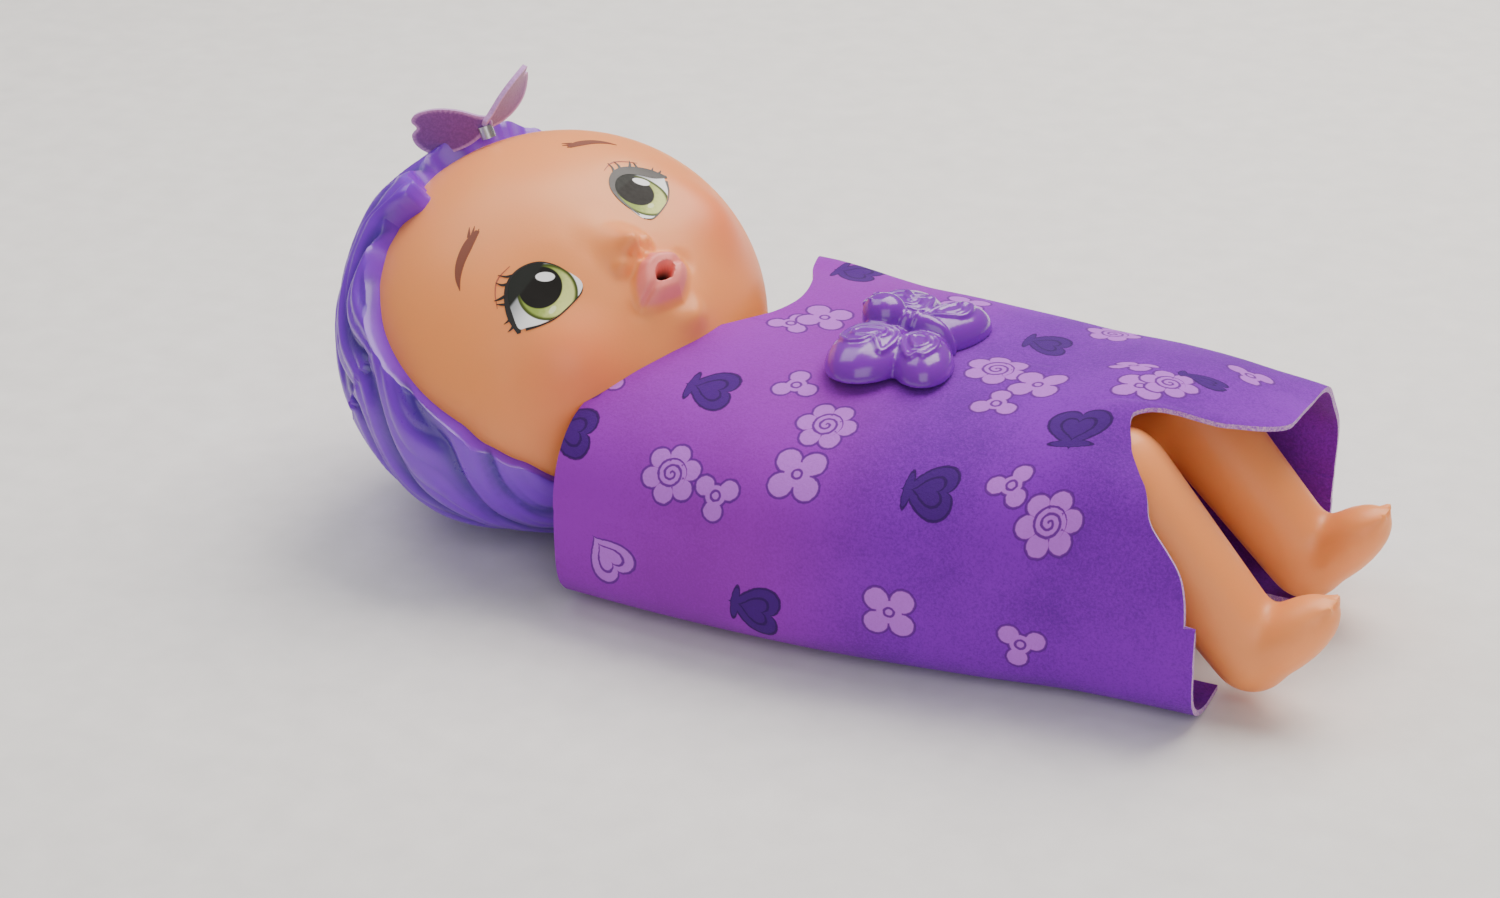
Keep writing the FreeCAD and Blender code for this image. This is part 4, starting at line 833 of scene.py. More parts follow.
def flat_map(piece):
    """A UV map that holds the flat place in millimetres over 40, from the middle."""
    layer = piece.data.uv_layers.get("flat") or piece.data.uv_layers.new(name="flat")
    for loop in piece.data.loops:
        co = piece.data.vertices[loop.vertex_index].co
        layer.data[loop.index].uv = (co.x / MM / 40 + 0.5, co.y / MM / 40 + 0.5)


def stroke(name, line, widths, length_steps=24, across=3):
    """A brush stroke that follows a line, with a width at each of its points."""
    deselect()
    bpy.ops.mesh.primitive_grid_add(x_subdivisions=length_steps, y_subdivisions=across, size=2)
    piece = added(name)
    for vertex in piece.data.vertices:
        share = (vertex.co.x + 1) / 2
        here = Vector((*spline_point(line, share), 0))
        step = Vector((*spline_point(line, min(1.0, share + 0.01)), 0)) \
            - Vector((*spline_point(line, max(0.0, share - 0.01)), 0))
        side = Vector((-step.y, step.x, 0)).normalized()
        width = max(0.05, spline_point([(w,) for w in widths], share)[0])
        vertex.co = (here + side * vertex.co.y * width / 2) * MM
    tidy_faces(piece, 0.000001)
    return piece


# The right eye, in millimetres about its middle: X toward the nose, Y up the face.
EYE_OUTLINE = [(8.4, -5.0), (8.6, -1.0), (7.6, 4.0), (5.0, 7.8), (1.4, 9.6), (-2.6, 9.6), (-6.2, 7.4),
               (-9.0, 4.0), (-11.2, 0.4), (-9.6, -1.4), (-6.8, -3.7), (-3.0, -5.5), (1.6, -6.3), (6.0, -6.5)]
LASH_LINE = [(8.3, -3.6), (8.0, 2.2), (5.8, 6.6), (1.6, 9.0), (-3.0, 8.8), (-6.8, 6.2), (-9.6, 2.8), (-12.2, -0.4)]
LASH_WIDTHS = [0.25, 0.8, 1.4, 2.0, 2.7, 3.2, 3.4, 0.9]
LASHES = [([(-0.4, 9.8), (-1.8, 11.3), (-2.6, 13.2)], [0.9, 0.5, 0.1]),
          ([(-2.8, 9.4), (-4.2, 10.7), (-4.6, 12.5)], [0.9, 0.6, 0.1]),
          ([(-5.6, 8.0), (-7.6, 9.0), (-8.8, 9.9)], [1.0, 0.6, 0.1]),
          ([(-7.6, 6.4), (-8.6, 7.8), (-9.2, 8.9)], [0.8, 0.5, 0.1]),
          ([(-9.6, 3.6), (-11.2, 3.8), (-12.4, 4.2)], [0.9, 0.5, 0.1]),
          ([(-10.6, 2.0), (-12.2, 1.9), (-13.5, 2.2)], [0.9, 0.6, 0.1])]
LOWER_LID = [(8.4, -5.0), (6.2, -6.6), (1.6, -6.5), (-3.2, -5.7), (-7.0, -3.9), (-10.4, -1.2)]
CREASE = [(1.1, 12.2), (-3.4, 12.6), (-6.8, 11.0), (-10.0, 8.0)]
BROW_LINES = {"right": ((37.8, -17.1, 23.6), (34.2, -32.8, 16.8)), "left": ((36.7, 23.0, 22.1), (34.7, 33.8, 13.1))}
EYES = {"right": (-23.4, -2.4, 1), "left": (20.6, -3.4, -1)}


def eye_finish(side, hand):
    """The painted eye; hand is 1 for the right eye and -1 for the left, whose flat map is mirrored."""
    look = settings().face
    finish = Finish(f"Painted {side.title()} Eye", (0.9, 0.9, 0.9), 0.5, Specular_IOR_Level=0.15)
    place = finish.node("UVMap", uv_map="flat").outputs[0]
    flat = finish.node("VectorMath", {0: place, 1: (40.0, 40.0, 0.0), 2: (-20.0, -20.0, 0.0)},
                       operation="MULTIPLY_ADD").outputs[0]

    def reach(x, y, squash=(1.0, 1.0), turn=0.0):
        away = finish.node("VectorMath", {0: flat, 1: (x, y, 0.0)}, operation="SUBTRACT").outputs[0]
        if turn:
            away = finish.node("VectorRotate", {"Vector": away, "Angle": math.radians(turn)},
                               rotation_type="Z_AXIS").outputs[0]
        shaped = finish.node("VectorMath", {0: away, 1: (1 / squash[0], 1 / squash[1], 0.0)},
                             operation="MULTIPLY").outputs[0]
        return finish.node("VectorMath", {0: shaped}, operation="LENGTH").outputs["Value"]

    iris = reach(0.9, 0.2)
    streaks = finish.node("TexNoise", {"Vector": flat, "Scale": 0.8, "Detail": 4.0}).outputs["Fac"]
    split = finish.node("SeparateXYZ", {0: flat})
    low = finish.math("ADD", finish.math("MULTIPLY", split.outputs[0], 0.3 * hand),
                      finish.math("MULTIPLY", split.outputs[1], -0.9))
    bright = finish.span(finish.math("ADD", low, finish.math("MULTIPLY", streaks, 5.0)), 1.0, 7.5)
    green = finish.mix(bright, shade(look.iris, 0.7), (0.66, 0.72, 0.25))
    green = finish.mix(finish.span(iris, 6.5, 7.3), green, shade(look.iris, 0.16))
    # Painted shade: the white of the eye greys toward its top, under the lashes.
    white = finish.mix(finish.span(split.outputs[1], -1.0, 6.0), (0.9, 0.9, 0.92), (0.32, 0.34, 0.36))
    colour = finish.mix(finish.span(iris, 7.9, 7.6), white, green)
    pupil = reach(0.9, 2.4, (5.8, 5.3))
    colour = finish.mix(finish.span(pupil, 1.05, 0.98), colour, (0.012, 0.011, 0.010))
    upper = finish.math("SUBTRACT", split.outputs[1], 5.6)
    colour = finish.mix(finish.span(upper, -0.6, 0.3), colour, (0.02, 0.022, 0.02))
    # Painted reflection: a small pale spot low on the iris.
    colour = finish.mix(finish.span(reach(-2.2 * hand, -3.6, (1.3, 0.7)), 1.2, 0.8), colour, (0.72, 0.78, 0.45))
    # Painted highlight: a white streak on the upper iris, on the same side of both eyes.
    painted_highlight = reach(4.0 * hand, 3.2, (2.5, 1.3), 52.0 * hand)
    colour = finish.mix(finish.span(painted_highlight, 1.05, 0.93), colour, (0.95, 0.95, 0.97))
    finish.set("Base Color", colour)
    finish.set("Roughness", finish.span(finish.noise(900.0), 0.3, 0.7, 0.45, 0.55))
    return finish.material


class DOLL_OT_eyes(bpy.types.Operator):
    """Paint the eyes, lashes and brows on the face"""
    bl_idname = "doll.eyes"
    bl_label = "Eyes, Lashes and Brows"

    def execute(self, context):
        face = bpy.data.objects["doll_face"]
        look = settings().face
        black = plain_finish("lash", "Black Lash Paint", (0.012, 0.010, 0.010), 0.4, 500.0, 0.00002)
        brown = plain_finish("brow", "Brown Brow Paint", tuple(look.brow), 0.6, 900.0, 0.00004)
        crease = plain_finish("crease", "Crease Paint", (0.42, 0.10, 0.06), 0.5, 500.0, 0.00002)
        for side, (y, z, hand) in EYES.items():
            place = on_face(y, z)

            def facing(points):
                return [(x * hand, up) for x, up in points]

            eye = painted_patch(side + "_eye", facing(EYE_OUTLINE))
            if hand < 0:
                mirror_map(eye)
            wrap_on(eye, face, place, 0.10)
            paint(eye, eye_finish(side, hand), "head")
            strokes = [stroke("lash_band", facing(LASH_LINE), LASH_WIDTHS, 64, 6),
                       stroke("lower_lid", facing(LOWER_LID), [0.2, 0.35, 0.3, 0.3, 0.35, 0.8], 48, 2)]
            strokes += [stroke("lash", facing(line), widths, 14, 2) for line, widths in LASHES]
            wraps = [wrap_on(item, face, place, 0.17) for item in strokes]
            paint(joined(side + "_lashes", wraps), black, "head")
            fold = stroke(side + "_crease", facing(CREASE), [0.15, 0.35, 0.3, 0.15], 32, 2)
            wrap_on(fold, face, place, 0.1)
            paint(fold, crease, "head")
            inner, outer = BROW_LINES[side]
            middle = (Vector(inner) + Vector(outer)) / 2
            brow_place = on_face(middle.y, middle.z)
            flat = [brow_place.inverted() @ HEAD @ (Vector(end) * MM) / MM for end in (inner, outer)]
            start, end = flat[0].xy, flat[1].xy
            along = end - start
            rise = Vector((-along.y, along.x)).normalized() * (1 if along.x * hand < 0 else -1)
            rise = rise if rise.y > 0 else -rise
            line = [tuple(start + along * share + rise * lift)
                    for share, lift in ((0.0, -0.6), (0.25, 0.9), (0.55, 1.7), (0.8, 1.3), (1.0, 0.0))]
            brow = wrap_on(stroke("brow", line, [1.2, 2.8, 2.5, 1.5, 0.1], 40, 5), face, brow_place, 0.1)
            hairs = []
            for lift, reach in ((1.2, 2.6), (0.4, 3.0), (-0.5, 2.2)):
                root = start + along * 0.12 + rise * (lift + 0.2)
                tip = start - along.normalized() * (reach - 1.6) + rise * (lift * 1.7)
                path = [tuple(root), tuple((root + tip) / 2), tuple(tip)]
                hair = stroke("brow_hair", path, [0.9, 0.6, 0.1], 10, 2)
                hairs.append(wrap_on(hair, face, brow_place, 0.12))
            paint(joined(side + "_brow", [brow] + hairs), brown, "head")
        return {"FINISHED"}


def mirror_map(piece):
    for item in piece.data.uv_layers["flat"].data:
        item.uv = (1.0 - item.uv[0], item.uv[1])


# ---- Hair --------------------------------------------------------------------------------------

# The hairline about the face: (degrees from the crown toward the doll's left, how far forward it comes, in mm).
HAIRLINE = [(-180, -8), (-160, -2), (-140, 4), (-125, 10), (-112, 13.4), (-102, 14.6), (-92, 16.4), (-75, 16.2),
            (-55, 16.0), (-40, 16.8), (-28, 18.2), (-20, 20.5), (-15.5, 26.5), (-11, 26.8), (-6, 23.0), (0, 18.4),
            (8, 16.8), (18, 19.0), (25, 20.0), (33, 15.0), (42, 8.0), (55, 4.0), (75, 2.0), (100, 0.0),
            (115, -3.0), (128, -6.0), (142, -8.0), (160, -8.0), (180, -8)]


def hairline_at(degrees):
    for (low, low_x), (high, high_x) in zip(HAIRLINE, HAIRLINE[1:]):
        if low <= degrees <= high:
            return low_x + (high_x - low_x) * smooth_step(low, high, degrees)
    return HAIRLINE[0][1]


PARTING = 26.0              # where the locks part, in degrees
CURL_AT, CURL_WIDE, CURL_HEIGHT = -11, 11, 2.4
CAP_LIFT, CAP_WALL, EDGE_TUCK = 2.0, 1.2, 2.7
SLIM_SHARE = 0.7            # how much lower the locks are beside the far cheek and by the neck
POLE_OPENING = 178.8        # the last ring before the opened pole, in degrees


def strand_height(degrees, back):
    """Height of the locks, 0 in a groove and 1 on a ridge, at a turn about the face and a way back from it."""
    swing = abs(degrees - PARTING)
    swing = min(swing, 360 - swing)
    wave = 0.42 * math.sin(swing * 0.075 + back * 3.0) + 0.22 * math.sin(swing * 0.17 - back * 5.0)
    lock = back * 6.0 - swing * 0.024 + wave
    ridge = 1.0 - abs(2 * (lock % 1.0) - 1.0) ** 2.2
    fine = 1.0 - abs(2 * ((lock * 3.1 + 0.6 * math.sin(swing * 0.11)) % 1.0) - 1.0) ** 2
    return 0.78 * ridge + 0.22 * fine


def hair_point(unit, rise):
    """Where a point of the round start goes on the hair cap, and how low in a groove it lies, which the hair's finish
    paints as shade.
    """
    polar = math.acos(max(-1.0, min(1.0, unit.z)))
    degrees = math.degrees(math.atan2(unit.y, unit.x))
    forward = min(1.0, polar / math.radians(POLE_OPENING))
    back = 1.0 - forward
    edge = hairline_at(degrees) / FACE_SIZE.x
    last_polar = math.pi - math.acos(max(-0.99, min(0.99, edge)))
    angle = last_polar * min(1.0, forward * 1.04)
    height = strand_height(degrees, back * (1.2 if abs(degrees) < 60 else 1.0))
    soft = smooth_step(0.0, 0.045, back) * smooth_step(1.0, 0.8, back)
    tuck = smooth_step(0.962, 1.0, forward)
    curl = math.exp(-((degrees - CURL_AT) / CURL_WIDE) ** 2)
    curl *= smooth_step(0.0, 0.07, back) * smooth_step(0.36, 0.12, back)
    far = smooth_step(40, 60, degrees) * smooth_step(178, 165, degrees) * smooth_step(0.5, 0.25, back)
    by_neck = smooth_step(92, 122, abs(degrees))
    lift = (CAP_LIFT + 0.5 * soft + CURL_HEIGHT * curl - far - by_neck - EDGE_TUCK * tuck) * MM
    lift += rise * height * soft * (1 - SLIM_SHARE * max(far, by_neck))
    turn = math.radians(degrees)
    way = (-math.cos(angle), math.sin(angle) * math.sin(turn), math.sin(angle) * math.cos(turn))
    place = Vector([share * (size * MM + lift) for share, size in zip(way, FACE_SIZE)])
    return place, (1.0 - height) * soft


class DOLL_OT_hair(bpy.types.Operator):
    """Model the moulded hair with its wavy locks"""
    bl_idname = "doll.hair"
    bl_label = "Hair"

    def execute(self, context):
        deselect()
        bpy.ops.mesh.primitive_uv_sphere_add(segments=288, ring_count=150, radius=1.0)
        hair = added("wavy_hair")
        # The sphere's first pole turns to the back of the head and its other pole is opened at the hairline.
        mesh = bmesh.new()
        mesh.from_mesh(hair.data)
        last = [vertex for vertex in mesh.verts if vertex.co.z < -0.9999]
        bmesh.ops.delete(mesh, geom=last, context="VERTS")
        mesh.to_mesh(hair.data)
        mesh.free()
        heights = []
        for vertex in hair.data.vertices:
            vertex.co, groove = hair_point(vertex.co, settings().hair.strand_height)
            heights.append(groove)
        # How low each point lies in a groove, for the painted shade of the hair's finish.
        attribute = hair.data.attributes.new("groove", "FLOAT", "POINT")
        attribute.data.foreach_set("value", heights)
        choose(hair)
        bpy.ops.object.mode_set(mode="EDIT")
        bpy.ops.mesh.select_all(action="SELECT")
        bpy.ops.mesh.normals_make_consistent(inside=False)
        bpy.ops.object.mode_set(mode="OBJECT")
        apply_modifier(hair, "SOLIDIFY", thickness=CAP_WALL * MM, offset=-1.0)
        settle(hair, HEAD)
        paint(hair, hair_finish(), "head", ["hair_cap"])
        return {"FINISHED"}


# ---- Bow ---------------------------------------------------------------------------------------

def bow_finish():
    look = settings().bow
    finish = Finish("Bow Felt", look.colour, 0.9, Sheen_Weight=0.5)
    fibres = finish.noise(1500.0, 4.0, roughness=0.7)
    side = finish.attribute("front")
    rim = finish.attribute("rim")
    colour = finish.mix(side, look.colour, look.front)
    colour = finish.mix(rim, colour, (0.62, 0.30, 0.72))
    dark = finish.mix(0.25, colour, (0, 0, 0))
    finish.set("Base Color", finish.mix(finish.span(fibres, 0.35, 0.7), dark, colour))
    finish.set("Normal", finish.bump(fibres, 0.0002, 0.6))
    return finish.material


WING_OUTLINE = [(-1.0, -1.2), (1.5, -2.6), (6.0, -4.6), (11.5, -5.4), (16.5, -4.6), (19.6, -2.0), (20.0, 0.8),
                (18.2, 2.4), (19.0, 4.6), (17.0, 6.4), (12.0, 6.6), (6.5, 5.0), (2.0, 2.6), (-1.0, 1.2)]
WING_LONG, WING_HALF, WING_THICK = 20, 6, 1.4
WING_CURL, WING_CUP = 2.2, 1.2
BOW_ROOT = Vector((27.4, 21.6, 46.0))
# Each wing on the upright head: the way it points, the way it leans, which face shows its front, and its scale.
WINGS = {"right": (Vector((-0.41, -0.58, 0.70)), Vector((0.62, 0.10, 0.78)), 1, 1.05),
         "left": (Vector((0.11, 0.99, -0.03)), Vector((0.93, -0.10, 0.15)), -1, 1.0)}


class DOLL_OT_bow(bpy.types.Operator):
    """Cut the bow's two felt wings"""
    bl_idname = "doll.bow"
    bl_label = "Felt Bow"

    def execute(self, context):
        material = bow_finish()
        for side, (along, lean, hand, scale) in WINGS.items():
            outline = [(x * scale, y * scale) for x, y in WING_OUTLINE]
            wing = painted_patch(f"bow_{side}_wing", outline, 14, 112)
            mark(wing, "rim", lambda co: rim_of(co, scale))
            apply_modifier(wing, "SOLIDIFY", thickness=WING_THICK * MM, offset=0.0)
            mark(wing, "front", lambda co: 1.0 if co.z * hand > 0 else 0.0)
            for vertex in wing.data.vertices:
                share = vertex.co.x / (WING_LONG * MM)
                cup = WING_CUP * abs(vertex.co.y / (WING_HALF * MM)) ** 2 * share
                vertex.co.z += (WING_CURL * share * share - cup) * MM * hand
            along = along.normalized()
            lean = (lean - along * lean.dot(along)).normalized()
            turn = Matrix((along, lean, along.cross(lean))).transposed().to_4x4()
            settle(wing, HEAD @ Matrix.Translation(BOW_ROOT * MM) @ turn)
            paint(wing, material, "head", [f"bow_wing_{side}"])
        return {"FINISHED"}


def rim_of(co, scale):
    """1 near a wing's cut edge."""
    point = Vector((co.x, co.y)) / MM
    steps = 60
    nearest = min((Vector(spline_point(WING_OUTLINE, step / steps, True)) * scale - point).length
                  for step in range(steps))
    return smooth_step(1.0, 0.55, nearest)


# ---- Limbs -------------------------------------------------------------------------------------

def copy_node(node, name):
    """A free copy of a CAD node's mesh, with its triangles joined up."""
    source = frame["nodes"][node]
    piece = bpy.data.objects.new(name, source.data.copy())
    bpy.context.scene.collection.objects.link(piece)
    piece.data.materials.clear()
    tidy_faces(piece, 0.00001)
    return piece


def smoothed_limb(node, name, voxel, rounds):
    piece = copy_node(node, name)
    apply_modifier(piece, "REMESH", mode="VOXEL", voxel_size=voxel)
    apply_modifier(piece, "SMOOTH", factor=0.5, iterations=rounds)
    return piece


# Pulls in millimetres, for the left side: the right side mirrors them.
FINGERS, FINGER_SIDE, FINGER_TOP, FINGER_PITCH = 4, 47, 38, 3.6
KNEE_PULL = ((82, 24, 64), (0.4, 0, 1.2), 10)
THIGH_PULL = ((70, 24, 40), (-0.6, 0, -1.6), 7)
TOES, TOE_FIRST, TOE_PITCH, BIG_TOE, SMALL_TOE = 5, 6.2, 3.1, 2.6, 1.9


def hand_pulls(tip, hand):
    """Four fingers at the end of a hand, with grooves between them, and a thumb."""
    pulls = []
    for finger in range(FINGERS):
        height = FINGER_TOP - finger * FINGER_PITCH
        pulls += [((tip, FINGER_SIDE, height), (1.8, 0.3, 0), 2.2),
                  ((tip, FINGER_SIDE, height - FINGER_PITCH / 2), (-0.8, 0, 0), 1.4)]
    pulls += [((tip - 9, FINGER_SIDE - 6, FINGER_TOP), (1.5, -1.6, 1.5), 3.2)]
    return [mirrored(entry, hand) for entry in pulls]


def toe_pulls(leg, hand):
    """Five toes along the end of a foot, the big one first."""
    ankle, climb = 0.11, 0.6
    high = max((vertex.co for vertex in leg.data.vertices if vertex.co.x > ankle),
               key=lambda co: co.z + co.x * climb)
    pulls = []
    for toe in range(TOES):
        y = high.y / MM - hand * TOE_FIRST + hand * toe * TOE_PITCH
        size = BIG_TOE if toe == 0 else SMALL_TOE
        pulls += [((high.x / MM, y, high.z / MM), (0.9, 0, 1.2), size)]
    return pulls


class DOLL_OT_limbs(bpy.types.Operator):
    """Model the soft vinyl arms and legs"""
    bl_idname = "doll.limbs"
    bl_label = "Arms and Legs"

    def execute(self, context):
        for side, hand in (("left", 1), ("right", -1)):
            arm = smoothed_limb(side + "_arm", f"{side}_soft_arm", 0.0012, 12)
            pull(arm, *hand_pulls(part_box(side + "_arm")[1].x / MM, hand))
            settle(arm)
            paint(arm, skin_finish(), side + "_arm", [side + "_arm"])
            leg = smoothed_limb(side + "_leg", f"{side}_soft_leg", 0.0013, 14)
            pull(leg, mirrored(KNEE_PULL, hand), mirrored(THIGH_PULL, hand), *toe_pulls(leg, hand))
            settle(leg)
            paint(leg, skin_finish(), side + "_leg", [side + "_leg"])
        return {"FINISHED"}


# ---- Swaddle -----------------------------------------------------------------------------------

STATIONS = [(-68, 59.5, 62.0), (-30, 61.5, 62.5), (10, 60.5, 63.5), (48, 55.5, 66.5), (76, 50.5, 71.3),
            (118, 49.0, 64.0)]
NECKLINE = [(-62, -61.0), (-52, -61.0), (-46, -60.2), (-36, -56.6), (-23, -50.6), (-8, -43.4), (0, -37.4),
            (9, -31.0), (20, -28.6), (34, -31.5), (45, -36.5), (52, -39.0), (62, -41.0)]
# Both tables: (across the body toward the doll's left, along the body), in millimetres.
HEM = [(-62, 104.0), (-58, 99.0), (-55.5, 94.5), (-53, 90.5), (-51, 88.7), (-48.3, 87.6), (-45.5, 86.0),
       (-43, 83.8), (-37.7, 80.3), (-34, 79.0), (-31, 78.0), (-28, 77.2), (-25, 77.2), (-22.5, 79.5), (-20.8, 82.5),
       (-19.8, 86.5), (-19.2, 91.0), (-18.2, 96.0), (-16, 100.0), (-12, 106.0), (-7, 110.4), (-2, 111.6),
       (30, 111.6), (62, 111.6)]
CLOTH_MIDDLE, CLOTH_FLOOR = 30.0, 0.05      # the height of the cloth's widest line, and its gap to the floor
HALF_FELT = 0.75
ROUND_TOP, SQUARE_FAR, SQUARE_UNDER = 2.3, 1.5, 5
RIDGE_HEIGHT, RIDGE_TURN, RIDGE_WIDE, RIDGE_LONG = 5.0, 0.78, 0.16, 38.0
GIRTH_STATION, GIRTH_SAMPLES = 10.0, 3000
CLOTH_SIDE = 62.0                           # below its widest line the cloth is cut as at its side
UV_UNIT = 100                               # millimetres of cloth in one unit of its UV map
OPEN_BELOW, OPEN_HALF = 5, 30               # the back of the cloth is open between its two flaps


def along_table(table, value):
    """A smooth reading between the rows of a table of pairs."""
    if value <= table[0][0]:
        return table[0][1]
    for index in range(len(table) - 1):
        (low, low_value), (high, high_value) = table[index], table[index + 1]
        if value <= high:
            before = table[max(0, index - 1)]
            after = table[min(len(table) - 1, index + 2)]
            t = (value - low) / (high - low)
            slope_low = (high_value - before[1]) / (high - before[0]) * (high - low)
            slope_high = (after[1] - low_value) / (after[0] - low) * (high - low)
            return ((2 * t ** 3 - 3 * t * t + 1) * low_value + (t ** 3 - 2 * t * t + t) * slope_low
                    + (3 * t * t - 2 * t ** 3) * high_value + (t ** 3 - t * t) * slope_high)
    return table[-1][1]


def cloth_section(x, angle):
    """A point of the cloth's middle surface at a station along the body and a turn about it."""
    half = along_table([(row[0], row[1]) for row in STATIONS], x)
    top = along_table([(row[0], row[2]) for row in STATIONS], x)
    c, s = math.cos(angle), math.sin(angle)
    if s > 0:
        rise = top - CLOTH_MIDDLE - HALF_FELT
        squareness = ROUND_TOP + (SQUARE_FAR * smooth_step(78.0, 5.0, x) if c > 0 else 0.0)
    else:
        rise = CLOTH_MIDDLE + 1.0 - HALF_FELT
        squareness = SQUARE_UNDER
    power = 2 / squareness
    y = math.copysign(abs(c) ** power, c) * (half - HALF_FELT)
    z = CLOTH_MIDDLE + math.copysign(abs(s) ** power, s) * rise
    return Vector((x, y, max(z, HALF_FELT + CLOTH_FLOOR)))


def far_ridge(x, start, turn):
    """How far the felt stands off where it is pinched into a ridge at the far shoulder."""
    pinch = math.exp(-((turn - RIDGE_TURN) / RIDGE_WIDE) ** 2)
    return RIDGE_HEIGHT * pinch * smooth_step(RIDGE_LONG, 0.0, x - start)


def cloth_wave(x, turn, to_hem, high):
    """Slow waves of the cloth, and short ones along its hem."""
    wave = 0.35 * math.sin(x * 0.11 + turn * 3.0) * math.sin(turn) if high > 8 else 0.0
    if high > 20:
        wave += 0.8 * smooth_step(16.0, 0.0, to_hem) * math.sin(turn * 9.0 + x * 0.05)
    return wave


class DOLL_OT_swaddle(bpy.types.Operator):
    """Lay the printed felt swaddle round the doll"""
    bl_idname = "doll.swaddle"
    bl_label = "Felt Swaddle"

    def execute(self, context):
        look = settings().swaddle
        deselect()
        bpy.ops.mesh.primitive_grid_add(x_subdivisions=look.columns, y_subdivisions=look.rows, size=2)
        cloth = added("felt_swaddle")
        turns, walked = [math.pi * 1.5], [0.0]
        for step in range(1, GIRTH_SAMPLES + 1):
            turn = math.pi * (1.5 - 2.0 * step / GIRTH_SAMPLES)
            stride = cloth_section(GIRTH_STATION, turn) - cloth_section(GIRTH_STATION, turns[-1])
            walked.append(walked[-1] + stride.length)
            turns.append(turn)
        sections = [cloth_section(GIRTH_STATION, turn) for turn in turns]
        inside = [index for index, flat in enumerate(sections)
                  if not (flat.z < OPEN_BELOW and abs(flat.y) < OPEN_HALF)]
        first, last = inside[0], inside[-1]
        middle = min(range(first, last), key=lambda index: abs(turns[index] - math.pi / 2))
        cloth.data.uv_layers[0].name = "cloth"
        places = {}
        for vertex in cloth.data.vertices:
            across = walked[first] + (walked[last] - walked[first]) * (vertex.co.x + 1) / 2
            index = next_index(walked, across)
            turn, flat = turns[index], sections[index]
            side = flat.y if flat.z > CLOTH_MIDDLE else math.copysign(CLOTH_SIDE, flat.y)
            start, end = along_table(NECKLINE, side), along_table(HEM, side)
            x = start + (end - start) * (vertex.co.y + 1) / 2
            point = cloth_section(x, turn)
            places[vertex.index] = (x / UV_UNIT, (walked[middle] - walked[index]) / UV_UNIT)
            lift = cloth_wave(x, turn, end - x, flat.z) + far_ridge(x, start, turn)
            out = Vector((0, point.y, point.z - CLOTH_MIDDLE)).normalized()
            vertex.co = (point + out * lift + Vector((WAIST / MM, 0, 0))) * MM
        layer = cloth.data.uv_layers["cloth"]
        for loop in cloth.data.loops:
            layer.data[loop.index].uv = places[loop.vertex_index]
        outward = sum(1 if polygon.normal.dot(polygon.center - Vector((0, 0, 0.03))) > 0 else -1
                      for polygon in cloth.data.polygons)
        if outward < 0:
            cloth.data.flip_normals()
        choose(cloth)
        cloth.data.materials.append(felt_finish())
        cloth.data.materials.append(cut_edge_finish())
        apply_modifier(cloth, "SOLIDIFY", thickness=look.thickness, offset=0.0, material_offset_rim=1)
        settle(cloth)
        paint(cloth, None, None, ["swaddle_wrap", "swaddle_skirt"])
        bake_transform(cloth)
        return {"FINISHED"}


def next_index(walked, value):
    low, high = 0, len(walked) - 1
    while low < high:
        middle = (low + high) // 2
        if walked[middle] < value:
            low = middle + 1
        else:
            high = middle
    return low


# ---- Clasp -------------------------------------------------------------------------------------

CLASP_PLACE, CLASP_TILT = Vector((0.0158, 0, 0.0641)), math.radians(-2.2)
DOME = 2.2                  # how square the lobes are: 2 is round
# Radii of the raised lines, in millimetres.
OUTER_LINE, INNER_LINE, ANTENNA_LINE, EYE_LINE, STRIPE_LINE = 0.75, 0.6, 0.55, 0.5, 0.65
RELIEF_STEPS = 40


def lobe(place, radii, turn=0.0):
    """A puffy, flat-bottomed lobe of the clasp."""
    deselect()
    bpy.ops.mesh.primitive_uv_sphere_add(segments=64, ring_count=32, radius=1.0)
    piece = added("lobe")
    for vertex in piece.data.vertices:
        reach = min(1.0, vertex.co.xy.length)
        vertex.co.z = math.copysign((1 - reach ** DOME) ** (1 / DOME), vertex.co.z)
    piece.data.transform(Matrix.Diagonal((*[radius * MM for radius in radii], 1.0)))
    choose(piece)
    bpy.ops.object.mode_set(mode="EDIT")
    bpy.ops.mesh.select_all(action="SELECT")
    bpy.ops.mesh.bisect(plane_co=(0, 0, -place[2] * MM), plane_no=(0, 0, 1), clear_inner=True, use_fill=True)
    bpy.ops.object.mode_set(mode="OBJECT")
    piece.data.transform(Matrix.Translation(Vector(place) * MM) @ Matrix.Rotation(math.radians(turn), 4, "Z"))
    return piece


def relief(points, radius, closed, target):
    """A raised line pressed on the clasp: a round cord half sunk in its surface."""
    tree = BVHTree.FromObject(target, bpy.context.evaluated_depsgraph_get())
    curve = bpy.data.curves.new("relief", "CURVE")
    curve.dimensions = "3D"
    curve.bevel_depth = radius * MM
    curve.bevel_resolution = 3
    line = curve.splines.new("POLY")
    rows = []
    for step in range(RELIEF_STEPS + (0 if closed else 1)):
        flat = spline_point(points, step / RELIEF_STEPS, closed)
        hit = tree.ray_cast(Vector((flat[0] * MM, flat[1] * MM, 0.1)), Vector((0, 0, -1)))[0]
        rows.append(hit if hit else Vector((flat[0] * MM, flat[1] * MM, 0.001)))
    line.points.add(len(rows) - 1)
    for point, row in zip(line.points, rows):
        point.co = (*row, 1.0)
    line.use_cyclic_u = closed
    holder = bpy.data.objects.new("relief", curve)
    bpy.context.scene.collection.objects.link(holder)
    choose(holder)
    bpy.ops.object.convert(target="MESH")
    return bpy.context.object


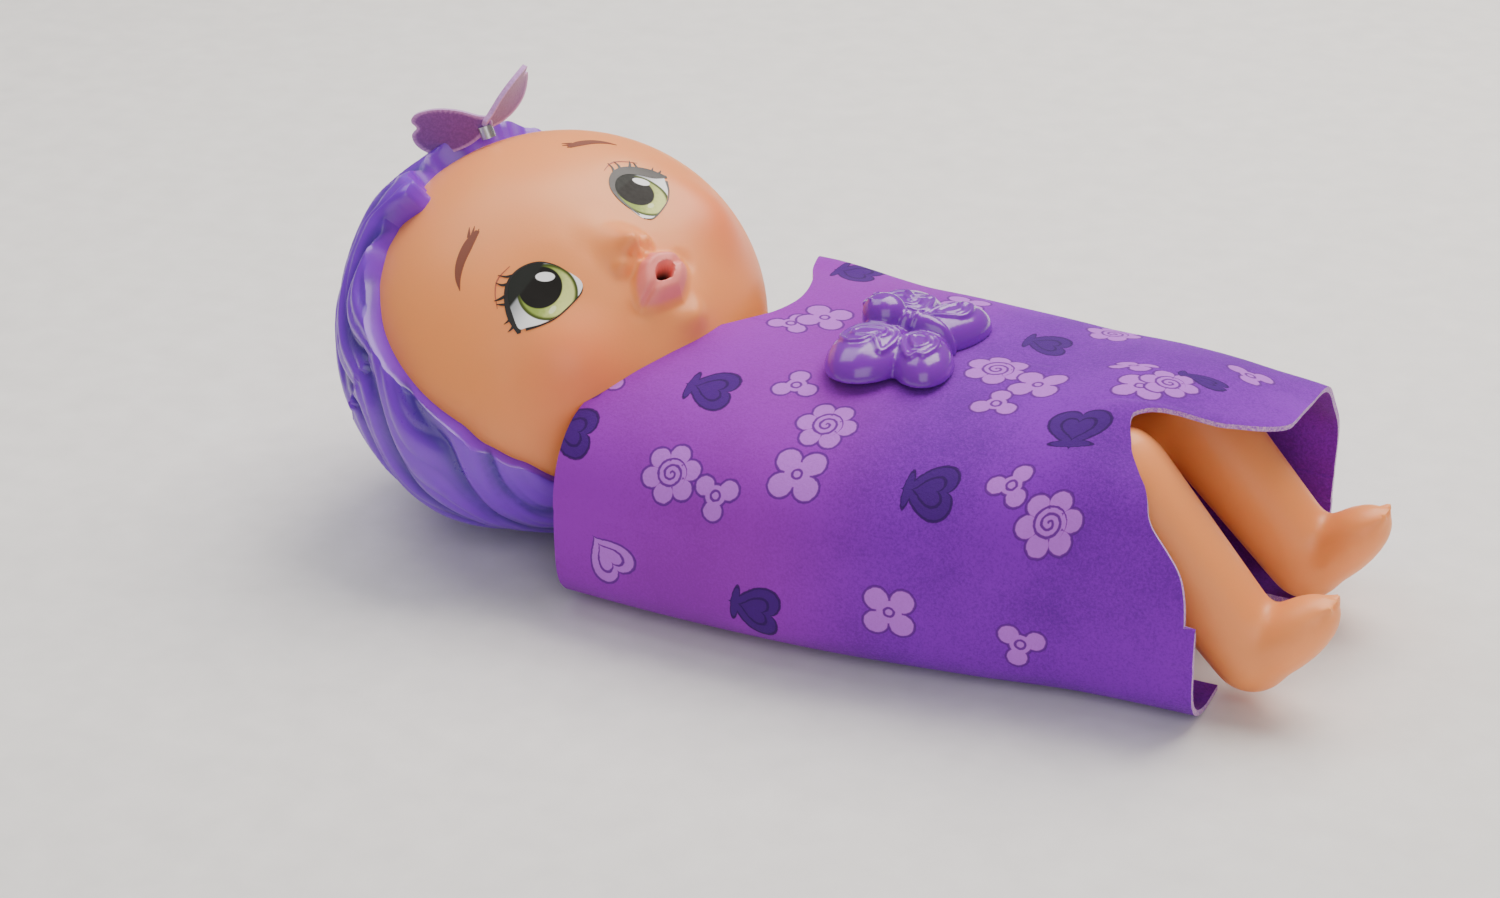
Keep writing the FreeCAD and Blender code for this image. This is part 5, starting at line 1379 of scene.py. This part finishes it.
class DOLL_OT_clasp(bpy.types.Operator):
    """Mould the puffy butterfly clasp with its raised lines"""
    bl_idname = "doll.clasp"
    bl_label = "Butterfly Clasp"

    def execute(self, context):
        lobes = [lobe((3.5, 0, 0.6), (10.5, 4.2, 9.6)), lobe((-5.5, 0, 8.0), (5.8, 5.8, 5.8))]
        for hand in (1, -1):
            lobes.append(lobe((-4.4, hand * 10.5, 0.0), (11.0, 15.4, 8.4), hand * 8))
            lobes.append(lobe((8.6, hand * 9.8, 0.0), (8.2, 13.0, 7.8), hand * -22))
        body = joined("butterfly", lobes)
        fore = [(1.2, 7.0), (2.2, 12), (0.8, 17.8), (-1.2, 15.6), (-3.2, 13.4), (-5.8, 16.4), (-9.4, 16.0),
                (-12.0, 12.4), (-11.6, 8.4), (-9, 6.6), (-3, 6.2)]
        fore_heart = [(-1.2, 8.6), (-0.8, 12.6), (-2.8, 10.8), (-5.4, 13.0), (-8.8, 12.4), (-9.2, 9.6), (-5.2, 8.2)]
        hind = [(3.4, 6.6), (4.6, 12.6), (8.2, 17.6), (9.8, 16.2), (11.8, 16.4), (13.2, 12.2), (12.2, 8.2), (8.2, 6.2)]
        hind_drop = [(5.6, 8.2), (6.8, 11.8), (9.2, 14.2), (10.8, 11.4), (9.8, 8.6), (7.6, 7.6)]
        antenna = [(-9.8, 5.2), (-12.2, 7.0), (-13.6, 9.4), (-12.6, 11.2)]
        lines = []
        for hand in (1, -1):
            for shape, closed, radius in ((fore, True, OUTER_LINE), (fore_heart, True, INNER_LINE),
                                          (hind, True, OUTER_LINE), (hind_drop, True, INNER_LINE),
                                          (antenna, False, ANTENNA_LINE)):
                lines.append(relief([(x, y * hand) for x, y in shape], radius, closed, body))
            lines.append(relief([(-9.2, 1.2 * hand), (-8.6, 2.0 * hand), (-7.8, 2.3 * hand)], EYE_LINE, False, body))
        for x, wide, bend in ((-10.3, 1.6, -0.4), (0.2, 3.0, 0.8), (2.8, 3.2, 0.8)):
            lines.append(relief([(x, -wide), (x + bend, 0), (x, wide)], STRIPE_LINE, False, body))
        clasp = joined("butterfly_badge", [body] + lines)
        apply_modifier(clasp, "REMESH", mode="VOXEL", voxel_size=settings().clasp.grain)
        apply_modifier(clasp, "SMOOTH", factor=0.5, iterations=1)
        tilt = Matrix.Rotation(CLASP_TILT, 4, "Y")
        settle(clasp, Matrix.Translation(CLASP_PLACE) @ tilt)
        paint(clasp, clasp_finish(), "butterfly_clasp", ["butterfly_clasp"])
        return {"FINISHED"}


# ---- Carried-over hard parts -------------------------------------------------------------------

NODE_SLOTS = {
    "vinyl": ["torso_front", "torso_back"],
    "steel": ["torso_screws", "cover_screw", "battery_springs", "battery_contacts", "board_screws", "tummy_spring",
              "speaker_magnet", "mouth_spring", "bow_rivet"],
    "battery": ["batteries"],
    "dark_plastic": ["power_slider", "power_switch", "board_chips", "tummy_switch", "speaker_cone", "mouth_switch"],
    "white_plastic": ["battery_cover", "tummy_button", "speaker_frame", "cable_plug", "cable_socket", "neck_ring",
                      "neck_post", "neck_clip", "mouth_cup", "mouth_plunger", "left_shoulder_plug",
                      "right_shoulder_plug", "left_hip_plug", "right_hip_plug", "clasp_plate"],
    "board": ["circuit_board"],
    "wire": ["battery_wires", "speaker_wires", "neck_cable", "mouth_wires"],
    "elastic": ["back_straps"],
}


class DOLL_OT_hard_parts(bpy.types.Operator):
    """Finish the hard parts that keep their CAD shape"""
    bl_idname = "doll.hard_parts"
    bl_label = "Hard Parts"

    def execute(self, context):
        for slot, names in NODE_SLOTS.items():
            for name in names:
                piece = frame["nodes"][name]
                piece.data.materials.clear()
                piece.data.materials.append(slot_finish(slot))
        return {"FINISHED"}


# ---- Add-on ------------------------------------------------------------------------------------

OPERATORS = [DOLL_OT_stage, DOLL_OT_face, DOLL_OT_eyes, DOLL_OT_hair, DOLL_OT_bow, DOLL_OT_limbs, DOLL_OT_swaddle,
             DOLL_OT_clasp, DOLL_OT_hard_parts]


class DOLL_PT_panel(bpy.types.Panel):
    """Lists the doll's pieces in the order they are made"""
    bl_idname = "DOLL_PT_panel"
    bl_label = "Baby Doll"
    bl_space_type = "VIEW_3D"
    bl_region_type = "UI"
    bl_category = "Doll"

    def draw(self, context):
        for operator in OPERATORS:
            self.layout.operator(operator.bl_idname)


CLASSES = [StageSettings, FaceSettings, HairSettings, BowSettings, SwaddleSettings, ClaspSettings, DollSettings,
           *OPERATORS, DOLL_PT_panel]


def register():
    for item in CLASSES:
        bpy.utils.register_class(item)
    bpy.types.Scene.baby_doll = PointerProperty(type=DollSettings, name="Baby Doll",
                                                description="Sizes and colours of the doll")


def unregister():
    del bpy.types.Scene.baby_doll
    for item in reversed(CLASSES):
        bpy.utils.unregister_class(item)


def main():
    register()
    for operator in OPERATORS:
        group_name, name = operator.bl_idname.split(".")
        getattr(getattr(bpy.ops, group_name), name)()


if __name__ == "__main__":
    main()
